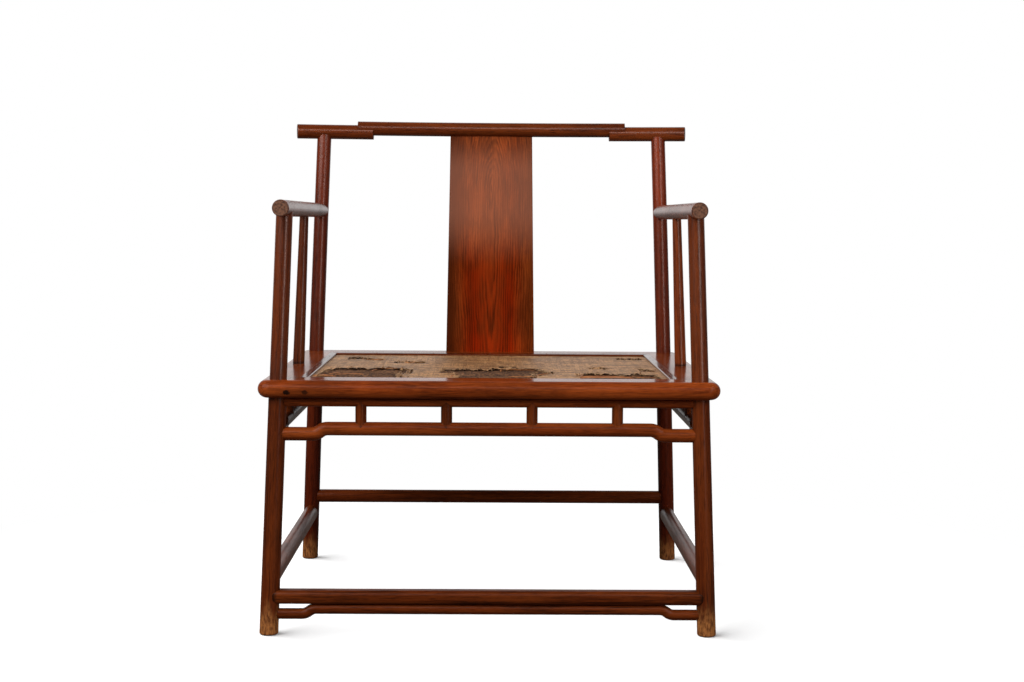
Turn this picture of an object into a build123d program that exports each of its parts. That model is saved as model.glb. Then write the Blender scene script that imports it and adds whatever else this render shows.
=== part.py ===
"""Official's hat armchair with a wide, low back and a woven cane seat.

Millimetres, +Z up, the sitter faces -Y.  The origin is on the floor, under the
middle of the seat frame.  Every timber is a solid of its own: round members are
coped over the round ones that they meet and held by a tenon in a mortise.
"""

from build123d import *
from math import radians, sin, tan
import os

os.makedirs("parts", exist_ok=True)

# --- Seat frame -------------------------------------------------------------
seat_width = 800
seat_depth = 680
seat_height = 445
seat_thickness = 31
seat_corner_radius = 22
nose_radius = 15.4
rail_width = 81
corner_tenon_from_edge = 52
corner_tenon_width = 22
corner_tenon_thickness = 10
corner_tenon_length = 30

# --- Edge strips, cane mat and palm webbing ---------------------------------
strip_width = 13
strip_thickness = 5
strip_proud = 0
strip_fall = 1
strip_inner_radius = 1.8
strip_outer_radius = 0.4
mat_thickness = 1.6
mat_under_strip = 9
webbing_thickness = 3
peg_diameter = 3
peg_length = 20
peg_proud = 0.2
pegs_per_long_strip = 5
pegs_per_short_strip = 4
peg_spacing = 118

# --- Braces under the webbing -----------------------------------------------
brace_width = 28
brace_height = 22
brace_offset = 140
brace_dip = 16
brace_edge_radius = 3.7
brace_tenon_width = 14
brace_tenon_height = 12
brace_tenon_length = 16

# --- Legs and posts ---------------------------------------------------------
leg_inset_side = 34
leg_inset_front = 33.5
leg_splay = 0.036
foot_diameter = 33
leg_top_diameter = 31.5
foot_edge_radius = 3.5
front_post_base_diameter = 30.1
front_post_top_diameter = 28.9
rear_post_base_diameter = 30.8
rear_post_top_diameter = 29.3
rear_post_top_lean = 0.061
rear_post_shares = (0, 0.25, 0.5, 0.75, 1)
post_root_depth = 7.4

# --- Arms -------------------------------------------------------------------
arm_height = 740
arm_diameter = 29
arm_overhang = 58
arm_end_radius = 1.6
side_post_base_diameter = 22.4
side_post_top_diameter = 16.8
side_post_inset = 33
side_post_tenon_diameter = 12
side_post_tenon_length = 18
arm_tenon_width = 10
arm_tenon_height = 14
post_tenon_side = 11
post_tenon_height = 8

# --- Crest rail and splat ---------------------------------------------------
crest_height = 904
crest_end_diameter = 29.9
crest_centre_diameter = 29.3
crest_centre_rise = 8
crest_overhang = 56
crest_bow = 28
crest_end_radius = 1.6
scarf_outer = 280
scarf_length = 32
scarf_pin_diameter = 5
scarf_pin_length = 18
splat_bottom_width = 185
splat_top_width = 172.4
splat_thickness = 9
splat_hollow = 6
splat_edge_radius = 1.2
splat_tongue_thickness = 5
splat_tongue_length = 8
splat_tongue_margin = 6

# --- Aprons under the seat frame --------------------------------------------
apron_rail_height = 16
apron_rail_depth = 21
apron_rail_radius = 7
humpback_diameter = 23.8
humpback_rise = 9.3
humpback_slope = 39
humpback_bend_from_leg = 76
humpback_bend_share = 0.98
strut_diameter = 19.5
strut_length = 26.8
strut_spacing = 148.5
long_apron_struts = 4
short_apron_struts = 3
apron_tenon_thickness = 8
apron_rail_tenon_height = 9
humpback_tenon_height = 13
leg_tenon_stop = 5

# --- Stretchers near the floor ----------------------------------------------
foot_stretcher_height = 66.5
foot_stretcher_depth = 31
foot_stretcher_thickness = 24
foot_stretcher_radius = 9
foot_humpback_diameter = 18.8
foot_humpback_end_height = 36
foot_humpback_bend_from_leg = 69
foot_humpback_tenon_height = 10
side_stretcher_height = 99
side_stretcher_width = 28.5
side_stretcher_thickness = 35
rear_stretcher_height = 134.5
rear_stretcher_diameter = 27
stretcher_tenon_height = 15

# --- Fits -------------------------------------------------------------------
shoulder_gap = 0.1
saddle_stop = 6
fit_gap = 0.15
mortise_end_gap = 0.6

# --- How far blanks run past the cuts that trim them -------------------------
leg_overrun = 12
crest_overrun = 28

# --- Heights and half spans worked out from the sizes above -----------------
half_width = seat_width / 2
half_depth = seat_depth / 2
leg_seat_x = half_width - leg_inset_side
leg_seat_y = half_depth - leg_inset_front
seat_underside = seat_height - seat_thickness
rabbet_depth = strip_thickness - strip_proud + mat_thickness
rabbet_floor = seat_height - rabbet_depth
mat_top = rabbet_floor + mat_thickness
brace_middle = rabbet_floor - webbing_thickness - brace_height / 2 - shoulder_gap
opening_width = seat_width - 2 * rail_width
opening_depth = seat_depth - 2 * rail_width
apron_rail_middle = seat_underside - apron_rail_height / 2
humpback_top = apron_rail_middle - apron_rail_height / 2 - strut_length
humpback_middle = humpback_top - humpback_diameter / 2
humpback_end_height = humpback_middle - humpback_rise
foot_stretcher_underside = foot_stretcher_height - foot_stretcher_thickness / 2
foot_humpback_rise = foot_stretcher_underside - foot_humpback_diameter / 2 - foot_humpback_end_height
crest_centre_height = crest_height + crest_centre_rise
scarf_level = crest_height + crest_centre_rise / 2
scarf_inner = scarf_outer - scarf_length


def leg_x(height):
    """Half the distance between the left and right leg axes at a height."""
    return leg_seat_x + leg_splay * (seat_height - height)


def leg_y(height):
    """Half the distance between the front and rear leg axes at a height."""
    return leg_seat_y + leg_splay * (seat_height - height)


def rear_post_y(height):
    """Rear post axis: the leg's own line up to the seat, then a gentle lean backwards."""
    rise = max(0, height - seat_height)
    bend = rear_post_top_lean / 2 / (crest_height - seat_height)
    return leg_y(min(height, seat_height)) + bend * rise**2


crest_post_x = leg_x(crest_height)
crest_post_y = rear_post_y(crest_height)
crest_tip = crest_post_x + crest_overhang
crest_arc_radius = (crest_post_x**2 + crest_bow**2) / (2 * crest_bow)
crest_middle_y = crest_post_y + crest_bow
arm_x = leg_x(arm_height)
arm_front_y = -leg_y(arm_height) - arm_overhang
splat_foot_y = leg_seat_y


def crest_y(x):
    """Depth of the crest rail's axis, which lies on one arc seen from above."""
    arc_centre = crest_middle_y - crest_arc_radius
    return arc_centre + (crest_arc_radius**2 - x**2) ** 0.5


def keep(piece, name):
    """Label a finished piece and write it as one STEP file."""
    piece.label = name
    export_step(piece, f"parts/{name}.step")


def lean_location(x, y, height, lean_x, lean_y):
    """A place on a leaning axis, with its local Z along the axis."""
    return Plane(origin=(x, y, height), z_dir=(lean_x, lean_y, 1)).location


def leg_cone(half_x, half_y, side, spare):
    """The lower leg at the left (-1) or right (+1) front of a half_x by half_y plan.

    It runs past the floor and the frame, and spare is added to its radius.
    """
    taper = (foot_diameter - leg_top_diameter) / 2 / seat_underside
    low = foot_diameter / 2 + taper * leg_overrun
    high = leg_top_diameter / 2 - taper * leg_overrun
    drop = leg_splay * (seat_height + leg_overrun)
    length = (seat_underside + 2 * leg_overrun) * (1 + 2 * leg_splay**2) ** 0.5
    foot_x, foot_y = side * (half_x + drop), -(half_y + drop)
    place = lean_location(foot_x, foot_y, -leg_overrun, -side * leg_splay, leg_splay)
    with BuildPart() as cone:
        with Locations(place):
            Cone(low + spare, high + spare, length, align=(Align.CENTER, Align.CENTER, Align.MIN))
    return cone.part


def front_post_cone(side, spare):
    """The upper part of a front timber, rooted a little below the seat frame."""
    root = seat_underside - post_root_depth
    length = arm_height - root
    place = lean_location(side * leg_x(root), -leg_y(root), root, -side * leg_splay, leg_splay)
    with BuildPart() as cone:
        with Locations(place):
            Cone(
                front_post_base_diameter / 2 + spare,
                front_post_top_diameter / 2 + spare,
                length,
                align=(Align.CENTER, Align.CENTER, Align.MIN),
            )
    return cone.part


def rear_post_body(side, spare):
    """The part of a rear timber above the seat frame's underside, bent backwards."""
    heights = [seat_height + share * (crest_height - seat_height) for share in rear_post_shares]
    with BuildPart() as body:
        for height in [seat_underside] + heights:
            share = (height - seat_underside) / (crest_height - seat_underside)
            diameter = rear_post_base_diameter + share * (rear_post_top_diameter - rear_post_base_diameter)
            with BuildSketch(Plane.XY.offset(height)):
                with Locations((side * leg_x(height), rear_post_y(height))):
                    Circle(diameter / 2 + spare)
        loft()
    return body.part


def crest_tube(height, diameter, x_from, x_to):
    """A round stretch of the bowed crest rail between two distances from its middle."""
    left, right = sorted((x_from, x_to))
    middle = (left + right) / 2
    start = Vector(left, crest_y(left), height)
    along = Vector(crest_y(left) - (crest_middle_y - crest_arc_radius), -left, 0)
    with BuildPart() as tube:
        with BuildLine() as path:
            ThreePointArc(start, (middle, crest_y(middle), height), (right, crest_y(right), height))
        with BuildSketch(Plane(origin=start, x_dir=(0, 0, 1), z_dir=along)):
            Circle(diameter / 2)
        sweep(path=path.line)
    return tube.part


def arm_tube(side, spare):
    """An arm rail's full round, from its free end into the rear post."""
    length = rear_post_y(arm_height) - saddle_stop - arm_front_y
    with BuildPart() as tube:
        with BuildSketch(Plane.XZ.offset(-arm_front_y)):
            with Locations((side * arm_x, arm_height)):
                Circle(arm_diameter / 2 + spare)
        extrude(amount=-length)
    return tube.part


# --- The tenons that enter the legs: height, tenon height, directions -------
across_front = [
    (apron_rail_middle, apron_rail_tenon_height),
    (humpback_end_height, humpback_tenon_height),
    (foot_stretcher_height, stretcher_tenon_height),
    (foot_humpback_end_height, foot_humpback_tenon_height),
]
across_rear = [
    (apron_rail_middle, apron_rail_tenon_height),
    (humpback_end_height, humpback_tenon_height),
    (rear_stretcher_height, stretcher_tenon_height),
]
along_side = [
    (apron_rail_middle, apron_rail_tenon_height),
    (humpback_end_height, humpback_tenon_height),
    (side_stretcher_height, stretcher_tenon_height),
]


def cut_leg_mortises(side, front, levels, along_x):
    """Cut the mortises in one leg, for members that run across (X) or along (Y)."""
    reach = foot_diameter / 2 + 1
    inner = leg_tenon_stop - mortise_end_gap
    for height, tenon_height in levels:
        x, y = side * leg_x(height), front * leg_y(height)
        tall = tenon_height + 2 * fit_gap
        thick = apron_tenon_thickness + 2 * fit_gap
        middle = (reach + inner) / 2
        if along_x:
            with Locations((x - side * middle, y, height)):
                Box(reach - inner, thick, tall, mode=Mode.SUBTRACT)
        else:
            with Locations((x, y - front * middle, height)):
                Box(thick, reach - inner, tall, mode=Mode.SUBTRACT)


# --- Front timbers: leg below the frame, post above it ----------------------
for side, hand in ((-1, "left"), (1, "right")):
    leg = leg_cone(leg_seat_x, leg_seat_y, side, 0)
    post = front_post_cone(side, 0)
    arm = arm_tube(side, shoulder_gap)
    with BuildPart() as front_timber:
        add(leg)
        split(bisect_by=Plane.XY.offset(seat_underside), keep=Keep.BOTTOM)
        split(bisect_by=Plane.XY, keep=Keep.TOP)
        fillet(front_timber.edges().group_by(Axis.Z)[0], foot_edge_radius)
        add(post)
        split(bisect_by=Plane.XY.offset(arm_height - saddle_stop), keep=Keep.BOTTOM)
        add(arm, mode=Mode.SUBTRACT)
        with Locations((side * arm_x, -leg_y(arm_height), arm_height)):
            Box(
                post_tenon_side,
                post_tenon_side,
                arm_diameter + post_tenon_height,
                align=(Align.CENTER, Align.CENTER, Align.MAX),
            )
        with Locations((side * arm_x, -leg_y(arm_height), arm_height)):
            Box(
                post_tenon_side,
                post_tenon_side,
                post_tenon_height,
                align=(Align.CENTER, Align.CENTER, Align.MIN),
            )
        cut_leg_mortises(side, -1, across_front, True)
        cut_leg_mortises(side, -1, along_side, False)
    keep(front_timber.part, f"front_leg_post_{hand}")

# --- Rear timbers: straight leg, post bent backwards up to the crest --------
for side, hand in ((-1, "left"), (1, "right")):
    leg = leg_cone(leg_seat_x, leg_seat_y, side, 0).mirror(Plane.XZ)
    post = rear_post_body(side, 0)
    crest_end = crest_tube(
        crest_height, crest_end_diameter + 2 * shoulder_gap, side * scarf_outer, side * crest_tip
    )
    mortise_y = rear_post_y(arm_height) - rear_post_base_diameter / 2 - 1
    mortise_length = 1 + rear_post_base_diameter / 2 - leg_tenon_stop + mortise_end_gap
    with BuildPart() as rear_timber:
        add(leg)
        split(bisect_by=Plane.XY.offset(seat_underside), keep=Keep.BOTTOM)
        split(bisect_by=Plane.XY, keep=Keep.TOP)
        fillet(rear_timber.edges().group_by(Axis.Z)[0], foot_edge_radius)
        add(post)
        split(bisect_by=Plane.XY.offset(crest_height - saddle_stop), keep=Keep.BOTTOM)
        add(crest_end, mode=Mode.SUBTRACT)
        with Locations((side * crest_post_x, crest_post_y, crest_height + post_tenon_height)):
            Box(
                post_tenon_side,
                post_tenon_side,
                arm_diameter + 2 * post_tenon_height,
                align=(Align.CENTER, Align.CENTER, Align.MAX),
            )
        with Locations((side * arm_x, mortise_y, arm_height)):
            Box(
                arm_tenon_width + 2 * fit_gap,
                mortise_length,
                arm_tenon_height + 2 * fit_gap,
                align=(Align.CENTER, Align.MIN, Align.CENTER),
                mode=Mode.SUBTRACT,
            )
        cut_leg_mortises(side, 1, across_rear, True)
        cut_leg_mortises(side, 1, along_side, False)
    keep(rear_timber.part, f"rear_leg_post_{hand}")

# --- Arm rails and the tapered posts under their middle ---------------------
side_post_x = half_width - side_post_inset
side_post_lean = (side_post_x - arm_x) / (arm_height - seat_height)


def side_post_cone(side, spare):
    """The tapered post between the seat frame and the middle of an arm."""
    length = arm_height - seat_height
    with BuildPart() as cone:
        with Locations(lean_location(side * side_post_x, 0, seat_height, -side * side_post_lean, 0)):
            Cone(
                side_post_base_diameter / 2 + spare,
                side_post_top_diameter / 2 + spare,
                length,
                align=(Align.CENTER, Align.CENTER, Align.MIN),
            )
    return cone.part


for side, hand in ((-1, "left"), (1, "right")):
    arm = arm_tube(side, 0)
    arm_cutter = arm_tube(side, shoulder_gap)
    rear_post = rear_post_body(side, shoulder_gap)
    side_post = side_post_cone(side, 0)
    tenon_start = rear_post_y(arm_height) - rear_post_base_diameter
    tenon_end = rear_post_y(arm_height) - leg_tenon_stop
    with BuildPart() as arm_rail:
        add(arm)
        fillet(arm_rail.edges().group_by(Axis.Y)[0], arm_end_radius)
        add(rear_post, mode=Mode.SUBTRACT)
        with Locations((side * arm_x, tenon_start, arm_height)):
            Box(
                arm_tenon_width,
                tenon_end - tenon_start,
                arm_tenon_height,
                align=(Align.CENTER, Align.MIN, Align.CENTER),
            )
        mortise_top = arm_height + post_tenon_height + mortise_end_gap
        with Locations((side * arm_x, -leg_y(arm_height), mortise_top)):
            Box(
                post_tenon_side + 2 * fit_gap,
                post_tenon_side + 2 * fit_gap,
                arm_diameter,
                align=(Align.CENTER, Align.CENTER, Align.MAX),
                mode=Mode.SUBTRACT,
            )
        with Locations((side * arm_x, 0, arm_height + mortise_end_gap)):
            Cylinder(
                side_post_tenon_diameter / 2 + fit_gap,
                arm_diameter,
                align=(Align.CENTER, Align.CENTER, Align.MAX),
                mode=Mode.SUBTRACT,
            )
    keep(arm_rail.part, f"arm_rail_{hand}")

    with BuildPart() as arm_side_post:
        add(side_post)
        split(bisect_by=Plane.XY.offset(seat_height), keep=Keep.TOP)
        add(arm_cutter, mode=Mode.SUBTRACT)
        with Locations((side * arm_x, 0, arm_height)):
            Cylinder(
                side_post_tenon_diameter / 2,
                arm_diameter,
                align=(Align.CENTER, Align.CENTER, Align.MAX),
            )
        with Locations((side * side_post_x, 0, seat_height)):
            Cylinder(
                side_post_tenon_diameter / 2,
                side_post_tenon_length,
                align=(Align.CENTER, Align.CENTER, Align.MAX),
            )
    keep(arm_side_post.part, f"arm_side_post_{hand}")

# --- Back splat: one hollow curve from the rear rail up into the crest rail -
splat_rise = crest_centre_height - seat_height
splat_line = [
    (splat_foot_y, seat_height),
    ((splat_foot_y + crest_middle_y) / 2 + splat_hollow, seat_height + splat_rise / 2),
    (crest_middle_y, crest_centre_height),
]
splat_front = [(y - splat_thickness / 2, z) for y, z in splat_line]
splat_back = [(y + splat_thickness / 2, z) for y, z in splat_line]
splat_top_z = crest_centre_height - crest_centre_diameter / 2
splat_narrowing = (splat_bottom_width - splat_top_width) / 2 / (splat_top_z - seat_height)
splat_peak_half = splat_bottom_width / 2 - splat_narrowing * splat_rise
crest_centre_cutter = crest_tube(
    crest_centre_height, crest_centre_diameter + 2 * shoulder_gap, -scarf_inner, scarf_inner
)

with BuildPart() as back_splat:
    with BuildSketch(Plane.YZ):
        with BuildLine():
            ThreePointArc(*splat_front)
            ThreePointArc(*splat_back)
            Line(splat_front[0], splat_back[0])
            Line(splat_front[-1], splat_back[-1])
        make_face()
    extrude(amount=splat_bottom_width / 2, both=True)
    with BuildSketch(Plane.XZ):
        with BuildLine():
            Polyline(
                (-splat_bottom_width / 2, seat_height),
                (splat_bottom_width / 2, seat_height),
                (splat_peak_half, crest_centre_height),
                (-splat_peak_half, crest_centre_height),
                close=True,
            )
        make_face()
    extrude(amount=-seat_depth, mode=Mode.INTERSECT)
    long_edges = back_splat.edges().sort_by(SortBy.LENGTH)[-4:]
    fillet(long_edges, splat_edge_radius)
    add(crest_centre_cutter, mode=Mode.SUBTRACT)
    with Locations((0, splat_foot_y, seat_height)):
        Box(
            splat_bottom_width - 2 * splat_tongue_margin,
            splat_tongue_thickness,
            2 * splat_tongue_length,
        )
    with Locations((0, crest_middle_y, splat_top_z + splat_tongue_length)):
        Box(
            splat_top_width - 2 * splat_tongue_margin,
            splat_tongue_thickness,
            2 * splat_tongue_length,
            align=(Align.CENTER, Align.CENTER, Align.MAX),
        )
keep(back_splat.part, "back_splat")

# --- Crest rail: a raised centre piece scarfed to an end piece on each side -
scarf_pin_x = (scarf_inner + scarf_outer) / 2
scarf_pin_places = [(side * scarf_pin_x, crest_y(scarf_pin_x), scarf_level) for side in (-1, 1)]

with BuildPart() as scarf_step:
    with BuildSketch(Plane.XZ.offset(-crest_middle_y)):
        with BuildLine():
            Polyline(
                (-scarf_outer, scarf_level),
                (-scarf_inner, scarf_level),
                (-scarf_inner, crest_height - crest_end_diameter),
                (scarf_inner, crest_height - crest_end_diameter),
                (scarf_inner, scarf_level),
                (scarf_outer, scarf_level),
                (scarf_outer, crest_height + crest_end_diameter),
                (-scarf_outer, crest_height + crest_end_diameter),
                close=True,
            )
        make_face()
    extrude(amount=2 * crest_overrun, both=True)

with BuildPart() as crest_pin_holes:
    with Locations(*scarf_pin_places):
        Cylinder(scarf_pin_diameter / 2 + fit_gap, scarf_pin_length + 2 * mortise_end_gap)

with BuildPart() as crest_rail_centre:
    reach = scarf_outer + crest_overrun
    add(crest_tube(crest_centre_height, crest_centre_diameter, -reach, reach))
    add(scarf_step.part, mode=Mode.INTERSECT)
    add(crest_pin_holes.part, mode=Mode.SUBTRACT)
    with Locations((0, crest_middle_y, splat_top_z + splat_tongue_length + mortise_end_gap)):
        Box(
            splat_top_width - 2 * splat_tongue_margin + 2 * fit_gap,
            splat_tongue_thickness + 2 * fit_gap,
            crest_centre_diameter,
            align=(Align.CENTER, Align.CENTER, Align.MAX),
            mode=Mode.SUBTRACT,
        )
keep(crest_rail_centre.part, "crest_rail_centre")

for side, hand in ((-1, "left"), (1, "right")):
    with BuildPart() as crest_rail_end:
        start = side * (scarf_inner - crest_overrun)
        add(crest_tube(crest_height, crest_end_diameter, start, side * crest_tip))
        tip_face = crest_rail_end.faces().sort_by(Axis.X)[0 if side < 0 else -1]
        fillet(tip_face.edges(), crest_end_radius)
        add(scarf_step.part, mode=Mode.SUBTRACT)
        add(crest_pin_holes.part, mode=Mode.SUBTRACT)
        mortise_top = crest_height + post_tenon_height + mortise_end_gap
        with Locations((side * crest_post_x, crest_post_y, mortise_top)):
            Box(
                post_tenon_side + 2 * fit_gap,
                post_tenon_side + 2 * fit_gap,
                crest_end_diameter,
                align=(Align.CENTER, Align.CENTER, Align.MAX),
                mode=Mode.SUBTRACT,
            )
    keep(crest_rail_end.part, f"crest_rail_end_{hand}")

with BuildPart() as crest_scarf_pins:
    with Locations(*scarf_pin_places):
        Cylinder(scarf_pin_diameter / 2, scarf_pin_length)
keep(crest_scarf_pins.part, "crest_scarf_pins")

# --- Seat frame: four mitred rails around the woven seat --------------------
def centred_row(count, spacing):
    """Evenly spaced places along a line, centred on 0."""
    return [(index - (count - 1) / 2) * spacing for index in range(count)]


long_peg_places = centred_row(pegs_per_long_strip, peg_spacing)
short_peg_places = centred_row(pegs_per_short_strip, peg_spacing)
peg_line_x = opening_width / 2 + strip_width / 2
peg_line_y = opening_depth / 2 + strip_width / 2
peg_top = seat_height + strip_proud - strip_fall / 2 + peg_proud
peg_places = [(x, side * peg_line_y, peg_top) for x in long_peg_places for side in (-1, 1)]
peg_places += [(side * peg_line_x, y, peg_top) for y in short_peg_places for side in (-1, 1)]


def peg_row(spare):
    """All the bamboo pegs that pin the edge strips, each radius grown by spare."""
    with BuildPart() as row:
        with Locations(*peg_places):
            Cylinder(
                peg_diameter / 2 + spare,
                peg_length + spare,
                align=(Align.CENTER, Align.CENTER, Align.MAX),
            )
    return row.part


def mitre_outline(turn):
    """The four corners of one rail's share of the frame, cut at 45 degrees."""
    reach = half_width if turn in (0, 180) else half_depth
    depth = half_depth if turn in (0, 180) else half_width
    inner = reach - rail_width
    outline = [(-reach, -depth), (reach, -depth), (inner, rail_width - depth), (-inner, rail_width - depth)]
    return [Vector(x, y, 0).rotate(Axis.Z, turn) for x, y in outline]


with BuildPart() as frame_blank:
    with BuildSketch(Plane.XY.offset(seat_underside)):
        RectangleRounded(seat_width, seat_depth, seat_corner_radius)
    extrude(amount=seat_thickness)
    fillet(frame_blank.faces().sort_by(Axis.Z)[-1].edges(), nose_radius)
    fillet(frame_blank.faces().sort_by(Axis.Z)[0].edges(), nose_radius)
    with BuildSketch(Plane.XY.offset(seat_underside)):
        Rectangle(opening_width, opening_depth)
    extrude(amount=seat_thickness, mode=Mode.SUBTRACT)
    with BuildSketch(Plane.XY.offset(rabbet_floor)):
        Rectangle(opening_width + 2 * strip_width, opening_depth + 2 * strip_width)
    extrude(amount=rabbet_depth, mode=Mode.SUBTRACT)
    for side in (-1, 1):
        add(front_post_cone(side, fit_gap), mode=Mode.SUBTRACT)
        add(rear_post_body(side, fit_gap), mode=Mode.SUBTRACT)
        with Locations((side * side_post_x, 0, seat_height)):
            Cylinder(
                side_post_tenon_diameter / 2 + fit_gap,
                side_post_tenon_length + mortise_end_gap,
                align=(Align.CENTER, Align.CENTER, Align.MAX),
                mode=Mode.SUBTRACT,
            )
        for end in (-1, 1):
            with Locations((side * brace_offset, end * opening_depth / 2, brace_middle)):
                Box(
                    brace_tenon_width + 2 * fit_gap,
                    2 * (brace_tenon_length + mortise_end_gap),
                    brace_tenon_height + 2 * fit_gap,
                    mode=Mode.SUBTRACT,
                )
    with Locations((0, splat_foot_y, seat_height)):
        Box(
            splat_bottom_width - 2 * splat_tongue_margin + 2 * fit_gap,
            splat_tongue_thickness + 2 * fit_gap,
            2 * (splat_tongue_length + mortise_end_gap),
            mode=Mode.SUBTRACT,
        )
    add(peg_row(fit_gap), mode=Mode.SUBTRACT)

corner_tenon_y = half_depth - corner_tenon_from_edge - corner_tenon_width / 2
corner_tenon_x = half_width - corner_tenon_from_edge - corner_tenon_width
corner_tenon_z = seat_underside + seat_thickness / 2


def corner_tenons(front, spare):
    """The two tenons at the ends of a front (-1) or rear (+1) rail."""
    length = corner_tenon_width + corner_tenon_length
    with BuildPart() as tenons:
        for side in (-1, 1):
            with Locations((side * (corner_tenon_x + length / 2), front * corner_tenon_y, corner_tenon_z)):
                Box(length + 2 * spare, corner_tenon_width + 2 * spare, corner_tenon_thickness + 2 * spare)
    return tenons.part


frame_sides = {"front": 0, "right": 90, "rear": 180, "left": -90}
for name, turn in frame_sides.items():
    outline = mitre_outline(turn)
    with BuildPart() as frame_rail:
        with BuildSketch(Plane.XY.offset(seat_underside)):
            with BuildLine():
                Polyline(*outline, close=True)
            make_face()
        extrude(amount=seat_thickness)
        add(frame_blank.part, mode=Mode.INTERSECT)
        if name in ("front", "rear"):
            add(corner_tenons(-1 if name == "front" else 1, 0))
        else:
            add(corner_tenons(-1, fit_gap), mode=Mode.SUBTRACT)
            add(corner_tenons(1, fit_gap), mode=Mode.SUBTRACT)
    keep(frame_rail.part, f"seat_frame_{name}")

# --- Edge strips that press the mat into the rabbet, and their pegs ---------
strip_top = mat_top + strip_thickness
strip_inner_top = strip_top - strip_fall
with BuildPart() as strip_blank:
    with BuildSketch(Plane.XY.offset(mat_top)):
        Rectangle(opening_width + 2 * strip_width, opening_depth + 2 * strip_width)
        Rectangle(opening_width, opening_depth, mode=Mode.SUBTRACT)
    extrude(amount=strip_thickness)
    # the top slopes down towards the mat on all four sides
    with BuildSketch(Plane.XY.offset(strip_top)):
        Rectangle(opening_width + 2 * strip_width, opening_depth + 2 * strip_width)
    with BuildSketch(Plane.XY.offset(strip_inner_top)):
        Rectangle(opening_width, opening_depth)
    loft(mode=Mode.SUBTRACT)
    # from the top down: outer edges, sloping mitre lines, inner edges
    fillet(strip_blank.edges().group_by(Axis.Z)[-3], strip_inner_radius)
    fillet(strip_blank.edges().group_by(Axis.Z)[-1], strip_outer_radius)
    add(peg_row(fit_gap), mode=Mode.SUBTRACT)

for name, turn in frame_sides.items():
    outline = mitre_outline(turn)
    with BuildPart() as edge_strip:
        with BuildSketch(Plane.XY.offset(mat_top)):
            with BuildLine():
                Polyline(*outline, close=True)
            make_face()
        extrude(amount=strip_thickness)
        add(strip_blank.part, mode=Mode.INTERSECT)
    keep(edge_strip.part, f"seat_edge_strip_{name}")

edge_strip_pegs = peg_row(0)
keep(edge_strip_pegs, "edge_strip_pegs")

# --- Cane mat, and the palm-fibre webbing laced below it --------------------
with BuildPart() as cane_mat:
    with BuildSketch(Plane.XY.offset(rabbet_floor)):
        Rectangle(opening_width + 2 * mat_under_strip, opening_depth + 2 * mat_under_strip)
    extrude(amount=mat_thickness)
    add(peg_row(fit_gap), mode=Mode.SUBTRACT)
keep(cane_mat.part, "cane_mat")

with BuildPart() as palm_fibre_webbing:
    with BuildSketch(Plane.XY.offset(rabbet_floor - webbing_thickness)):
        Rectangle(opening_width - 2 * fit_gap, opening_depth - 2 * fit_gap)
    extrude(amount=webbing_thickness)
keep(palm_fibre_webbing.part, "palm_fibre_webbing")

# --- Dipped braces from the front rail to the rear rail ---------------------
for side, hand in ((-1, "left"), (1, "right")):
    brace_x = side * brace_offset
    with BuildPart() as seat_brace:
        with BuildLine(Plane.YZ.offset(brace_x)) as brace_path:
            ThreePointArc(
                (-opening_depth / 2, brace_middle),
                (0, brace_middle - brace_dip),
                (opening_depth / 2, brace_middle),
            )
        start = brace_path.line @ 0
        with BuildSketch(Plane(origin=start, x_dir=(1, 0, 0), z_dir=brace_path.line % 0)):
            RectangleRounded(brace_width, brace_height, brace_edge_radius)
        sweep(path=brace_path.line)
        for end in (-1, 1):
            split(
                bisect_by=Plane(origin=(0, end * opening_depth / 2, 0), z_dir=(0, end, 0)),
                keep=Keep.BOTTOM,
            )
            with Locations((brace_x, end * opening_depth / 2, brace_middle)):
                Box(brace_tenon_width, 2 * brace_tenon_length, brace_tenon_height)
    keep(seat_brace.part, f"seat_brace_{hand}")


# --- Members between two legs, drawn across the front and turned into place -
def cope_ends(half_x, half_y, height):
    """Cut both ends of the member in hand to the legs, mitred where its neighbour meets it."""
    for side in (-1, 1):
        add(leg_cone(half_x, half_y, side, shoulder_gap), mode=Mode.SUBTRACT)
        mitre_x = side * (splayed(half_x, height) - shoulder_gap)
        mitre = Plane(origin=(mitre_x, -splayed(half_y, height), 0), z_dir=(side, 1, 0))
        split(bisect_by=mitre, keep=Keep.BOTTOM)


def end_tenons(reach, y, height, tenon_height):
    """Add a tenon at both ends of the member in hand, stopping short of the leg's axis."""
    length = foot_diameter
    for side in (-1, 1):
        with Locations((side * (reach - leg_tenon_stop), y, height)):
            Box(
                length,
                apron_tenon_thickness,
                tenon_height,
                align=(Align.MAX if side > 0 else Align.MIN, Align.CENTER, Align.CENTER),
            )


def splayed(half, height):
    """Half a leg spacing, given at seat height, at another height."""
    return half + leg_splay * (seat_height - height)


def humpback_bar(half_x, y, end_height, rise, diameter, bend_from_leg):
    """A round bar that steps up near each leg through two tangent bends."""
    reach = splayed(half_x, end_height)
    run = rise / tan(radians(humpback_slope))
    bend = reach - bend_from_leg
    slope_length = rise / sin(radians(humpback_slope))
    bend_radius = humpback_bend_share * slope_length / 2 / tan(radians(humpback_slope / 2))
    top = end_height + rise
    corners = [(reach, end_height), (bend + run / 2, end_height), (bend - run / 2, top)]
    points = [(-x, z) for x, z in corners] + corners[::-1]
    with BuildPart() as bar:
        with BuildLine(Plane.XZ.offset(-y)) as path:
            FilletPolyline(*points, radius=bend_radius)
        with BuildSketch(Plane(origin=(-reach, y, end_height), x_dir=(0, 1, 0), z_dir=(1, 0, 0))):
            Circle(diameter / 2)
        sweep(path=path.wires()[0])
    return bar.part


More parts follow.
